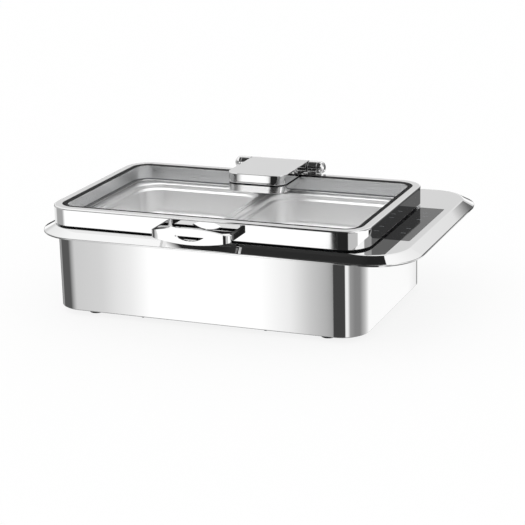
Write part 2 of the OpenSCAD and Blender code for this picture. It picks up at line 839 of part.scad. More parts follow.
// Screws of the inlet, with nuts behind the wall
module inlet_screws() {
    color(satin) for (x = [-inlet_screw_x, inlet_screw_x])
        translate([inlet_x + x, body_d / 2 + 3, inlet_z]) {
            rotate([-90, 0, 0]) screw(3, 5.5, 2, 3 + body_sheet + 4);
            translate([0, -3 - body_sheet, 0]) rotate([90, 0, 0]) nut(3, 3, 2.4);
        }
}

// Earth stud on the cover, with its nut and ring tag
module earth_stud() {
    color(brass) translate([earth_x, earth_y, foot_h]) {
        mirror([0, 0, 1]) screw(4, 8, 2, cover_t + 10);
        translate([0, 0, cover_t]) nut(nut_r, 4, nut_h);
        translate([0, 0, cover_t + nut_h]) difference() {
            union() {
                cylinder(r = 4, h = 1, $fn = 24);
                translate([-1.5, -tag_len, 0]) cube([3, tag_len, 1]);
            }
            translate([0, 0, -1]) cylinder(d = 4 + 2 * bore_gap, h = 3, $fn = 24);
        }
    }
}

// Leads from the inlet to the mains terminal and to the tag of the earth stud
module mains_leads() {
    tab_y = body_d / 2 - inlet_len - pin_tab;
    tag_z = cover_top + nut_h + 1.5;
    turn_y = board_y + board_d / 2 + lead_bend;
    color("saddlebrown") for (i = [0, 1]) {
        x = inlet_x + pin_spots[i][0];
        z = inlet_z + pin_spots[i][1];
        wire([[x, tab_y, z], [x, mains_y, z], [x, mains_y, board_top + terminal_h]], wire_r, lead_bend);
    }
    color("yellowgreen")
        wire([[inlet_x, tab_y, inlet_z + pin_spots[2][1]],
            [inlet_x, turn_y, inlet_z + pin_spots[2][1]],
            [earth_x, turn_y, inlet_z + pin_spots[2][1]],
            [earth_x, turn_y, tag_z],
            [earth_x, earth_y - tag_len, tag_z]], wire_r, lead_bend);
}

// Leads of the heater: terminal to cut-out, cut-out to element, element to terminal
module heater_leads() {
    z = board_top + terminal_h;
    run_z = z + 4;
    edge_x = spreader_w / 2 + 7.5;
    pin_x = leg_end + pin_len;
    pin_y = 1.5 * leg_pitch;
    cut_z = well_under - cutout_h;
    color("white") {
        wire([[heater_x, cutout_y + 35, z],
            [heater_x, cutout_y + 35, run_z],
            [sensor_x + tab_x, cutout_y + 35, run_z],
            [sensor_x + tab_x, cutout_y, run_z],
            [sensor_x + tab_x, cutout_y, cut_z]], wire_r, lead_bend);
        wire([[sensor_x - tab_x, cutout_y, cut_z],
            [sensor_x - tab_x, cutout_y, cut_z - 5],
            [sensor_x - tab_x, pin_y, cut_z - 5],
            [sensor_x - tab_x, pin_y, tube_z],
            [pin_x, pin_y, tube_z]], wire_r, lead_bend);
        wire([[heater_x, board_y - 6.5, z],
            [heater_x, board_y - 6.5, run_z],
            [edge_x, board_y - 6.5, run_z],
            [edge_x, -pin_y, run_z],
            [edge_x, -pin_y, tube_z],
            [pin_x, -pin_y, tube_z]], wire_r, lead_bend);
    }
}

// Lead from the board's small plug to the temperature probe
module sensor_leads() {
    z = board_top + 3.4;
    turn_y = -leg_pitch + probe_lead_run;
    front_y = plug_y - 3.5;
    color("gray")
        wire([[plug_x - 6, front_y, z],
            [plug_x - 6, front_y - lead_out, z],
            [sensor_x, front_y - lead_out, z],
            [sensor_x, turn_y, z],
            [sensor_x, turn_y, well_under - probe_r],
            [sensor_x, -leg_pitch + probe_len / 2, well_under - probe_r]], 1, lead_bend);
}

// Cable from the touch board through the grommet down to the power board
module panel_cable() {
    in_x = body_w / 2 - 11.5;
    run_z = board_top + 9.4;
    color(rubber)
        wire([[box_x - 12, cable_y, touch_z],
            [box_x - 12, cable_y, cable_z],
            [in_x, cable_y, cable_z],
            [in_x, cable_y, run_z],
            [plug_x - 3, cable_y, run_z],
            [plug_x - 3, plug_y, run_z],
            [plug_x - 3, plug_y, board_top + plug_h]], cable_d / 2, lead_bend);
}

// Rubber grommet in the housing's wall
module cable_grommet() {
    t = body_sheet;
    color(rubber) translate([body_w / 2 - t, cable_y, cable_z]) rotate([0, 90, 0]) rotate_extrude()
        polygon([[cable_d / 2 + bore_gap, -1.2], [grommet_r + 2, -1.2], [grommet_r + 2, 0], [grommet_r, 0],
            [grommet_r, t], [grommet_r + 1.5, t], [grommet_r + 1.5, t + 1], [cable_d / 2 + bore_gap, t + 1]]);
}

// Black glass of the touch panel, flush with the deck
module panel_glass() {
    color(dark_glass) translate([panel_x, panel_back, panel_floor])
        linear_extrude(panel_t) rounded(panel_w, panel_len, panel_corner);
}

// Touch board with its controller and plug
module touch_board() {
    color(board_green) translate([panel_x, panel_back, touch_z]) {
        linear_extrude(touch_board_t) rounded(touch_w, touch_len, 1);
        translate([6, -20, -2]) linear_extrude(2) square(12, center = true);
        for (y = [-70, 60])
            translate([4, y, -1.2]) linear_extrude(1.2) square([8, 5], center = true);
    }
}

// Black foam that presses the touch board against the glass
module touch_foam() {
    color(rubber) translate([panel_x, panel_back, panel_floor - foam_t])
        linear_extrude(foam_t) rounded(touch_w, touch_len, 1);
}

// Control box: plastic tray under the deck with a ledge for the glass
module control_box() {
    seat_w = panel_w - 4;
    seat_len = panel_len - 4;
    side_wall = panel_x - seat_w / 2 - box_x + box_w / 2;
    color("#2a2c2e") translate([box_x, panel_back, 0]) difference() {
        translate([0, 0, box_floor]) linear_extrude(box_depth) rounded(box_w, box_len, 4);
        // bed of the glass
        translate([panel_x - box_x, 0, panel_floor]) linear_extrude(panel_t)
            rounded(panel_w + 2 * panel_clear, panel_len + 2 * panel_clear, panel_corner);
        // hollow for the touch board
        translate([panel_x - box_x, 0, box_floor + box_wall]) linear_extrude(box_depth)
            rounded(seat_w, seat_len, 2);
        // holes of the studs, and room for their nuts
        for (p = nut_spots) {
            translate([p[0], p[1], box_floor - 1])
                cylinder(d = stud_d + 2 * bore_gap, h = box_depth + 2, $fn = 24);
            translate([p[0], p[1], box_floor - 1])
                cylinder(r = nut_room, h = box_depth - stud_land + 1, $fn = 24);
        }
        // hole of the cable
        translate([-box_w / 2, cable_y - panel_back, cable_z]) rotate([0, 90, 0])
            cylinder(d = cable_d + 2 * bore_gap, h = 2 * side_wall + 4, center = true);
    }
}

// Nuts that hold the control box
module control_box_nuts() {
    color(satin) for (p = nut_spots)
        translate([box_x + p[0], panel_back + p[1], deck_under - stud_land - stud_nut_h])
            nut(2.9, stud_d, stud_nut_h);
}

// Hinge base: foot plate with two cheeks that carry the pin
module hinge_base() {
    color(polished) difference() {
        union() {
            translate([0, base_front + base_d / 2, deck_top]) linear_extrude(base_t)
                rounded(2 * cap_x, base_d, 6);
            for (s = [-1, 1])
                translate([s * (cheek_x + cheek_w / 2), axis_y, 0]) rotate([90, 0, 90])
                    linear_extrude(cheek_w, center = true) {
                        translate([0, axis_z]) circle(barrel_r, $fn = 72);
                        translate([-barrel_r, deck_top + base_t])
                            square([2 * barrel_r, axis_z - deck_top - base_t]);
                    }
        }
        translate([-cap_x - 1, axis_y, axis_z]) rotate([0, 90, 0])
            cylinder(r = pin_r + bore_gap, h = 2 * cap_x + 2);
        for (p = base_holes)
            translate([p[0], p[1], deck_top - 1])
                cylinder(d = base_screw_d + 2 * bore_gap, h = base_t + 2, $fn = 24);
    }
}

// Plate under the deck that spreads the hinge's load
module hinge_backing_plate() {
    color(satin) translate([0, 0, deck_under - backing_t]) linear_extrude(backing_t) difference() {
        translate([0, base_front + base_d / 2]) rounded(2 * cap_x - 4, base_d - 4, 4);
        for (p = base_holes)
            translate(p) circle(d = base_screw_d + 2 * bore_gap, $fn = 24);
    }
}

// Screws of the hinge base, with nuts under the backing plate
module hinge_base_screws() {
    nut_z = deck_under - backing_t - 4;
    color(satin) for (p = base_holes) {
        translate([p[0], p[1], deck_top + base_t])
            screw(base_screw_d, 9, 3, deck_top + base_t - nut_z + 1);
        translate([p[0], p[1], nut_z]) nut(4.6, base_screw_d, 4);
    }
}

// Hinge pin through both cheeks
module hinge_pin() {
    color(satin) translate([-cap_x, axis_y, axis_z]) rotate([0, 90, 0])
        cylinder(r = pin_r, h = 2 * cap_x);
}

// Washers between the block's barrel and the cheeks
module hinge_washers() {
    color("ivory") for (s = [-1, 1])
        translate([s * cheek_x, axis_y, axis_z]) rotate([0, -90 * s, 0]) difference() {
            cylinder(r = barrel_r - 1.5, h = cheek_gap - run_gap);
            translate([0, 0, -1]) cylinder(r = pin_r + bore_gap, h = cheek_gap + 2);
        }
}

// Rounded caps on the outer ends of the cheeks
module hinge_end_caps() {
    color(polished) for (s = [-1, 1])
        translate([s * cap_x, axis_y, axis_z]) rotate([0, 90 * s, 0]) rotate_extrude($fn = 72)
            union() {
                square([barrel_r, cap_t - cap_round]);
                square([barrel_r - cap_round, cap_t]);
                translate([barrel_r - cap_round, cap_t - cap_round]) intersection() {
                    circle(cap_round);
                    square(cap_round);
                }
            }
}

// Lid frame: side wall, round upper edge, ledge and the rebate of the glass
module lid_frame() {
    t = lid_sheet;
    r = lid_edge_r;
    seat = glass_t + gasket_t;
    color(polished) difference() {
        translate([0, 0, lid_z]) sweep(lid_w, lid_d, lid_corner) {
            translate([-t, 0]) square([t, lid_h - r]);
            translate([-r, lid_h - r]) bend(r, t, 1, 1);
            translate([-lid_ledge, lid_h - t]) square([lid_ledge - r, t]);
            translate([-lid_ledge, lid_h - seat - t]) square([t, seat]);
            translate([-lid_ledge - glass_seat, lid_h - seat - t]) square([glass_seat, t]);
        }
        for (s = [-1, 1])
            translate([s * arm_x, -lid_d / 2 + t / 2, handle_z]) rotate([90, 0, 0])
                cylinder(d = handle_screw_d + 2 * bore_gap, h = 3 * t, center = true, $fn = 24);
    }
}

// Liner that closes the frame from inside and below, with room for the pans' rims to rise past it
module lid_liner() {
    t = lid_sheet;
    top = lid_h - glass_t - gasket_t - t;
    wall_x = -liner_inset;
    color(satin) translate([0, 0, lid_z]) sweep(lid_w, lid_d, lid_corner)
        polygon([[wall_x, 0], [-t, 0], [-t, t], [wall_x + t, t], [wall_x + t, top],
            [-lid_ledge - glass_seat, top], [-lid_ledge - glass_seat, top - t], [wall_x, top - t]]);
}

// Tempered glass, flush with the frame
module lid_glass() {
    inset = lid_ledge + glass_gap;
    color([0.75, 0.82, 0.85, 0.35]) translate([0, 0, lid_top - glass_t]) linear_extrude(glass_t)
        difference() {
            rounded(lid_w - 2 * inset, lid_d - 2 * inset, lid_corner - inset);
            for (x = clamp_cols, y = clamp_rows)
                translate([x, block_front + y]) circle(r = bushing_r + bore_gap);
        }
}

// Gasket round the edge of the glass and under it
module glass_gasket() {
    color(rubber) translate([0, 0, lid_z]) sweep(lid_w, lid_d, lid_corner)
        polygon([[-lid_ledge, lid_h - 0.2], [-lid_ledge - glass_gap, lid_h - 0.2],
            [-lid_ledge - glass_gap, lid_h - glass_t], [-lid_ledge - glass_seat, lid_h - glass_t],
            [-lid_ledge - glass_seat, lid_h - glass_t - gasket_t], [-lid_ledge, lid_h - glass_t - gasket_t]]);
}

// Black seal under the lid's edge
module lid_seal() {
    color(rubber) translate([0, 0, deck_top + run_gap]) sweep(lid_w, lid_d, lid_corner)
        translate([-seal_inset - seal_w, 0]) square([seal_w, lid_gap - run_gap]);
}

// Outline of the hinge block, from its round front corners back to y_end
module block_outline(y_end, inset) {
    r = block_corner - inset;
    w = block_w - 2 * inset;
    translate([0, block_front + inset]) {
        translate([-w / 2 + r, 0]) square([w - 2 * r, y_end - block_front - inset]);
        translate([-w / 2, r]) square([w, y_end - block_front - inset - r]);
        for (s = [-1, 1])
            translate([s * (w / 2 - r), r]) circle(r);
    }
}

// Round front corner of the block with its chamfered profile, and the straight edges beside it
module block_body() {
    c = block_chamfer;
    r = block_corner;
    w = block_w / 2;
    translate([0, 0, block_z]) {
        linear_extrude(block_h - c) block_outline(axis_y, 0);
        translate([0, 0, block_h - c]) linear_extrude(c) block_outline(axis_y, c);
        // chamfer along the front, round the corners and along the sides
        translate([r - w, block_front + c, block_h - c]) rotate([90, 0, 90])
            linear_extrude(2 * w - 2 * r) polygon([[-c, 0], [0, 0], [0, c]]);
        for (s = [-1, 1]) {
            translate([s * (w - r), block_front + r, block_h - c])
                rotate([0, 0, s > 0 ? -90 : 180])
                    rotate_extrude(angle = 90) polygon([[r - c, 0], [r, 0], [r - c, c]]);
            translate([s * (w - c), block_front + r, block_h - c]) rotate([90, 0, 180])
                mirror([s > 0 ? 1 : 0, 0, 0])
                    linear_extrude(block_len - r) polygon([[0, 0], [-c, 0], [0, c]]);
        }
    }
}

// Hinge block on the glass, with the barrel at its back
module hinge_block() {
    color(polished) difference() {
        union() {
            block_body();
            translate([-block_w / 2, axis_y, axis_z]) rotate([0, 90, 0])
                cylinder(r = barrel_r, h = block_w, $fn = 72);
        }
        translate([-block_w / 2 - 1, axis_y, axis_z]) rotate([0, 90, 0])
            cylinder(r = sleeve_r, h = block_w + 2);
        for (x = clamp_cols, y = clamp_rows)
            translate([x, block_front + y, block_z - 1])
                cylinder(d = clamp_screw_d + 2 * bore_gap, h = 11);
    }
}

// Clamp plate under the glass, with sunk holes for the screws
module hinge_clamp() {
    color(polished) translate([0, 0, clamp_top - clamp_t]) difference() {
        linear_extrude(clamp_t) block_outline(block_front + clamp_len, 0);
        for (x = clamp_cols, y = clamp_rows)
            translate([x, block_front + y, -1]) {
                cylinder(d = clamp_screw_d + 2 * bore_gap, h = clamp_t + 2);
                cylinder(d = clamp_screw_d + 5, h = clamp_t / 2 + 1);
            }
    }
}

// Soft pads above and below the glass
module clamp_pads() {
    color(rubber) {
        translate([0, 0, lid_top]) linear_extrude(pad_t) pad_outline();
        translate([0, 0, clamp_top]) linear_extrude(lid_top - glass_t - clamp_top) pad_outline();
    }
}

module pad_outline() {
    difference() {
        block_outline(block_front + clamp_len - 1, 1);
        for (x = clamp_cols, y = clamp_rows)
            translate([x, block_front + y]) circle(d = clamp_screw_d + 2 * bore_gap);
    }
}

// Screws from below through the plate and the glass into the block
module clamp_screws() {
    head_z = clamp_top - clamp_t / 2;
    color(satin) for (x = clamp_cols, y = clamp_rows)
        translate([x, block_front + y, head_z]) mirror([0, 0, 1])
            screw(clamp_screw_d, clamp_screw_d + 4, clamp_t / 2 - 1, block_z + 8 - head_z);
}

// Bushings in the holes of the glass
module glass_bushings() {
    color("ivory") for (x = clamp_cols, y = clamp_rows)
        translate([x, block_front + y, lid_top - glass_t]) difference() {
            cylinder(r = bushing_r, h = glass_t);
            translate([0, 0, -1]) cylinder(d = clamp_screw_d + 2 * bore_gap, h = glass_t + 2);
        }
}

// Bushings of the hinge pin, at both ends of the block's barrel
module hinge_bushings() {
    color(brass) for (s = [-1, 1])
        translate([s * (block_w - bushing_len) / 2, axis_y, axis_z]) rotate([0, 90, 0]) difference() {
            cylinder(r = sleeve_r - bore_gap, h = bushing_len, center = true);
            cylinder(r = pin_r + bore_gap, h = bushing_len + 2, center = true);
        }
}

// Friction damper between the bushings
module hinge_damper() {
    color("dimgray") translate([0, axis_y, axis_z]) rotate([0, 90, 0]) difference() {
        cylinder(r = sleeve_r - bore_gap, h = damper_len, center = true);
        cylinder(r = pin_r + run_gap, h = damper_len + 2, center = true);
    }
}

// Handle: a strip that turns back at both ends, cut to a lens shape with a lens shaped hole
module handle() {
    back = -lid_d / 2;
    t = handle_t;
    // the lens is drawn wider, so that its arcs pass through the end height at the handle's ends
    rise = (handle_h - handle_end_h) / 2;
    arc_r = (handle_w * handle_w / 4 + rise * rise) / (2 * rise);
    span = 2 * sqrt(arc_r * arc_r - pow(arc_r - handle_h / 2, 2));
    color(polished) difference() {
        intersection() {
            translate([0, 0, handle_z - handle_h]) linear_extrude(2 * handle_h) difference() {
                translate([0, handle_y + handle_reach]) intersection() {
                    rounded(handle_w, 2 * handle_reach, handle_bend);
                    translate([-handle_w, -2 * handle_reach]) square([2 * handle_w, 2 * handle_reach]);
                }
                translate([0, handle_y + handle_reach])
                    rounded(handle_w - 2 * t, 2 * handle_reach - 2 * t, handle_bend - t);
            }
            translate([0, back + 1, handle_z]) rotate([90, 0, 0])
                linear_extrude(handle_reach + 2) lens(span, handle_h);
        }
        translate([0, handle_y + t + 1, handle_z]) rotate([90, 0, 0])
            linear_extrude(t + 2) lens(grip_hole_w, grip_hole_h);
        for (s = [-1, 1])
            translate([s * arm_x, back + 1, handle_z]) rotate([90, 0, 0])
                cylinder(d = handle_screw_d + 2 * bore_gap, h = handle_screw_in + 1, $fn = 24);
    }
}

// Screws from inside the frame into the handle's arms
module handle_screws() {
    color(satin) for (s = [-1, 1])
        translate([s * arm_x, -lid_d / 2 + lid_sheet, handle_z]) rotate([-90, 0, 0])
            screw(handle_screw_d, 6, 2.4, lid_sheet + handle_screw_in - 1);
}

placed() housing_shell();
placed() bottom_cover();
placed() cover_screws();
placed() rubber_feet();
placed() foot_screws();
placed() deck_tray();
placed() water_well();
placed() food_pan_left();
placed() food_pan_right();
placed() heat_spreader();
placed() heating_element();
placed() element_straps();
placed() strap_nuts();
placed() insulation_pad();
placed() heat_shield();
placed() thermal_cutout();
placed() temperature_probe();
placed() probe_clip();
placed() power_board();
placed() board_relay();
placed() board_transformer();
placed() board_terminals();
placed() board_standoffs();
placed() board_screws();
placed() mains_inlet();
placed() inlet_pins();
placed() inlet_screws();
placed() earth_stud();
placed() mains_leads();
placed() heater_leads();
placed() sensor_leads();
placed() panel_cable();
placed() cable_grommet();
placed() panel_glass();
placed() touch_board();
placed() touch_foam();
placed() control_box();
placed() control_box_nuts();
placed() hinge_base();
placed() hinge_backing_plate();
placed() hinge_base_screws();
placed() hinge_pin();
placed() hinge_washers();
placed() hinge_end_caps();
placed() lid_frame();
placed() lid_liner();
placed() lid_glass();
placed() glass_gasket();
placed() lid_seal();
placed() hinge_block();
placed() hinge_clamp();
placed() clamp_pads();
placed() clamp_screws();
placed() glass_bushings();
placed() hinge_bushings();
placed() hinge_damper();
placed() handle();
placed() handle_screws();
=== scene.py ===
import math

import bmesh
import bpy
from bpy.props import FloatProperty, PointerProperty, StringProperty
from mathutils import Matrix, Vector
from mathutils.geometry import tessellate_polygon


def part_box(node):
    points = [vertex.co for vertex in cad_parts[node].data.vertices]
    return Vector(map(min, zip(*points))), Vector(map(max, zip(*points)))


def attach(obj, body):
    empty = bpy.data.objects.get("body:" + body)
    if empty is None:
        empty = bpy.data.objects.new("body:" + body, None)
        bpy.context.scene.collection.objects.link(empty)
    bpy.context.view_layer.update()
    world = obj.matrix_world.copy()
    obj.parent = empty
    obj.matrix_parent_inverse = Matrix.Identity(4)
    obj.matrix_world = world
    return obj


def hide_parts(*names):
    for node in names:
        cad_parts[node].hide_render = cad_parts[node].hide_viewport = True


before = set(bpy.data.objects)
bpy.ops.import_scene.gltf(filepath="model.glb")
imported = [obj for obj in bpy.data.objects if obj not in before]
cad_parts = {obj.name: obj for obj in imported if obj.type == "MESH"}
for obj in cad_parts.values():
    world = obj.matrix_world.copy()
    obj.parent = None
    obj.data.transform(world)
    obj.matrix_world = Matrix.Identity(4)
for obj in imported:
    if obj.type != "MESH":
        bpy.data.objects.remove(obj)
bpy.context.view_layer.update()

bl_info = {
    "name": "Electric chafing dish",
    "version": (1, 0, 0),
    "blender": (4, 5, 0),
    "location": "3D View > Sidebar > Dish",
    "description": "Dresses the packed chafing dish: polished steel, glass lid, food pans, hinge and touch panel",
    "category": "Object",
}

MM = 0.001
# points closer to each other than this, in metres, count as one
SAME_PLACE = 1e-7
# flat ends of a profile begin this many radii away from the corner of their bend, which leaves it room
ROOM = 1.02


def mm(name, text, default):
    return FloatProperty(name=name, description=text, default=default * MM, unit="LENGTH", subtype="DISTANCE")


def degrees(name, text, default):
    return FloatProperty(name=name, description=text, default=math.radians(default), unit="ROTATION", subtype="ANGLE")


class DishSizes(bpy.types.PropertyGroup):
    """Sizes of the dressed pieces, the same as the solids have, and the lean of two fronts."""

    deck_corner: mm("Deck corner", "Corner radius of the deck at its crease", 62)
    crease: mm("Crease", "Rounding where the deck bends down into its skirt", 8)
    skirt_width: mm("Skirt width", "Width of the sloping skirt", 20.5)
    skirt_drop: mm("Skirt drop", "Drop of the sloping skirt", 10.8)
    deck_sheet: mm("Deck sheet", "Thickness of the deck's sheet", 1.2)
    seat_drop: mm("Seat drop", "Depth of the recess that the pans hang in", 5)
    seat_ledge: mm("Seat ledge", "Width of the ledge under the pans' rims", 10)
    seat_play: mm("Seat play", "How much longer and wider the recess is than the two pans", 3)
    recess_corner: mm("Recess corner", "Corner radius of the recess", 23.5)
    panel_gap: mm("Panel gap", "Gap round the touch panel's glass", 0.4)
    panel_corner: mm("Panel corner", "Corner radius of the panel's opening", 3)
    body_corner: mm("Body corner", "Corner radius of the housing", 47)
    body_sheet: mm("Body sheet", "Thickness of the housing's wall", 1.5)
    bottom_flange: mm("Bottom flange", "Width of the flange at the foot of the housing's wall", 14)
    flange_gap: mm("Flange gap", "Gap between the recess and the flange at the top of the housing", 2.8)
    well_corner: mm("Well corner", "Corner radius of the water well", 40)
    well_floor_edge: mm("Well floor edge", "Radius between the well's wall and floor", 12)
    well_flange: mm("Well flange", "Width of the well's flange", 7)
    well_sheet: mm("Well sheet", "Thickness of the well's sheet", 1.2)
    pan_rim: mm("Pan rim", "Width of a food pan's rim", 12)
    pan_hem: mm("Pan hem", "Height of the hem round a food pan's rim", 3)
    pan_sheet: mm("Pan sheet", "Thickness of a food pan's sheet", 1)
    pan_corner: mm("Pan corner", "Corner radius of a food pan's opening", 42)
    rim_corner: mm("Rim corner", "Corner radius of a food pan's rim", 22)
    pan_lip: mm("Pan lip", "Radius where the rim bends into the wall", 4)
    pan_floor_edge: mm("Pan floor edge", "Radius between a pan's wall and floor", 18)
    pan_lean: mm("Pan lean", "How far a pan's wall leans in between its shoulder and its floor", 3.74)
    shoulder_drop: mm("Shoulder drop", "Depth of a pan's stacking shoulder below the rim", 9)
    shoulder_width: mm("Shoulder width", "Width of a pan's stacking shoulder", 3.5)
    shoulder_bend: mm("Shoulder bend", "Radius at both ends of a pan's stacking shoulder", 3)
    lid_corner: mm("Lid corner", "Corner radius of the lid", 45)
    lid_edge: mm("Lid edge", "Radius of the lid frame's upper outer edge", 3)
    lid_sheet: mm("Lid sheet", "Thickness of the lid frame's sheet", 1.2)
    lid_ledge: mm("Lid ledge", "Width of the polished ledge round the glass", 14)
    glass_seat: mm("Glass seat", "Width of the rebate under the glass", 9)
    glass: mm("Glass", "Thickness of the lid's glass", 5)
    gasket: mm("Gasket", "Thickness of the gasket under the glass", 0.6)
    block_corner: mm("Block corner", "Corner radius at the front of the hinge block", 24)
    block_lean: degrees("Block lean", "Lean of the hinge block's front", 7)
    clamp_lean: degrees("Clamp lean", "Lean of the clamp plate's front", 15)
    barrel: mm("Barrel", "Radius of the hinge barrel", 12)
    foot_plate: mm("Foot plate", "Thickness of the plate at the foot of the hinge's stand", 4)
    cheek_gap: mm("Cheek gap", "Gap between the barrel and a cheek of the stand", 1.5)
    cap_round: mm("Cap rounding", "Radius that rounds the hinge's end caps", 9)
    screw_head: mm("Screw head", "Radius of the heads of the stand's screws", 4.5)
    handle_bend: mm("Handle bend", "Outer radius where the grip turns into an arm", 11)
    handle_sheet: mm("Handle thickness", "Thickness of the handle's strip", 5)
    handle_end: mm("Handle end height", "Height of the handle at its ends", 10.5)
    handle_edge: mm("Handle edge", "Rounding of the handle's edges", 1.1)
    grip_hole_width: mm("Grip hole width", "Width of the hole through the grip", 52)
    grip_hole_height: mm("Grip hole height", "Height of the hole through the grip", 15.2)
    foot: mm("Foot", "Radius of a rubber foot", 14)
    edge: mm("Broken edge", "Small rounding on turned and cut steel edges", 0.6)


class DishColours(bpy.types.PropertyGroup):
    """Colours of the finishes, as sRGB hex values."""

    steel: StringProperty(name="Steel", description="Bare stainless steel", default="#EDEDED")
    satin: StringProperty(name="Satin steel", description="Satin stainless steel of pans and well", default="#F8F8F8")
    glass: StringProperty(name="Glass", description="Tempered soda lime glass", default="#FFFFFF")
    black_glass: StringProperty(name="Black glass", description="Glass printed black from behind", default="#0D0E10")
    rubber: StringProperty(name="Silicone rubber", description="Black silicone of seals and feet", default="#17181A")
    icon: StringProperty(name="Key marks", description="Pale marks on the touch panel", default="#7C7E82")


def linear(hex_text):
    """Linear colour of an sRGB hex value."""
    parts = [int(hex_text[i : i + 2], 16) / 255 for i in (1, 3, 5)]
    return (*[c / 12.92 if c <= 0.04045 else ((c + 0.055) / 1.055) ** 2.4 for c in parts], 1.0)


def sizes():
    return bpy.context.scene.dish_sizes


def colours():
    return bpy.context.scene.dish_colours


# Outlines and profiles


def rounded(corners, closed=True, steps=8):
    """Turns corners (x, y, radius) into points and, for each stretch between them, the normals at its two ends.

    Corners run counter-clockwise, so the normals point to the right of the way, out of the shape."""
    count = len(corners)
    points, stretches = [], []
    flat = [Vector(c[:2]) for c in corners]
    for i in range(count):
        here, radius = flat[i], corners[i][2]
        if radius <= 0 or (not closed and i in (0, count - 1)):
            points.append((here, None))
            continue
        before, after = flat[i - 1], flat[(i + 1) % count]
        u, v = (here - before).normalized(), (after - here).normalized()
        turn = math.atan2(u.x * v.y - u.y * v.x, u.dot(v))
        side = 1 if turn > 0 else -1
        start = here - u * radius * math.tan(abs(turn) / 2)
        centre = start + Vector((-u.y, u.x)) * radius * side
        pieces = max(2, round(abs(turn) / (math.pi / 2) * steps))
        for k in range(pieces + 1):
            reach = Matrix.Rotation(turn * k / pieces, 2) @ (start - centre)
            points.append((centre + reach, reach.normalized() * side))
    for i in range(len(points) - (0 if closed else 1)):
        (a, na), (b, nb) = points[i], points[(i + 1) % len(points)]
        way = (b - a).normalized()
        n = Vector((way.y, -way.x))
        # a stretch inside a bend takes the bend's own normals
        both_round = na is not None and nb is not None and na.dot(n) > 0.8 and nb.dot(n) > 0.8
        stretches.append((na, nb) if both_round and na.dot(nb) < 0.9999 else (n, n))
    return [p for p, _ in points], stretches


def spoke(share):
    """Unit vector at a share of a full turn."""
    a = math.tau * share
    return Vector((math.cos(a), math.sin(a)))


def round_rect(width, depth, corner, x=0.0, y=0.0, steps=20):
    """Outline of a rounded rectangle: points and outward normals, one after another."""
    out = []
    for i, (sx, sy) in enumerate(((1, 1), (-1, 1), (-1, -1), (1, -1))):
        centre = Vector((x + sx * (width / 2 - corner), y + sy * (depth / 2 - corner)))
        for k in range(steps + 1):
            n = spoke((i + k / steps) / 4)
            out.append((centre + n * corner, n))
    return out


def polygon_outline(corners, steps=16):
    """Outline of any polygon with round corners, as round_rect gives it."""
    points, stretches = rounded(corners, True, steps)
    return [(p, n.normalized()) for p, (n, _) in zip(points, stretches)]


def circle_outline(steps=48):
    """Outline for turned pieces: all of it at the centre, so that a profile's distances are radii."""
    return [(Vector((0, 0)), spoke(k / steps)) for k in range(steps)]


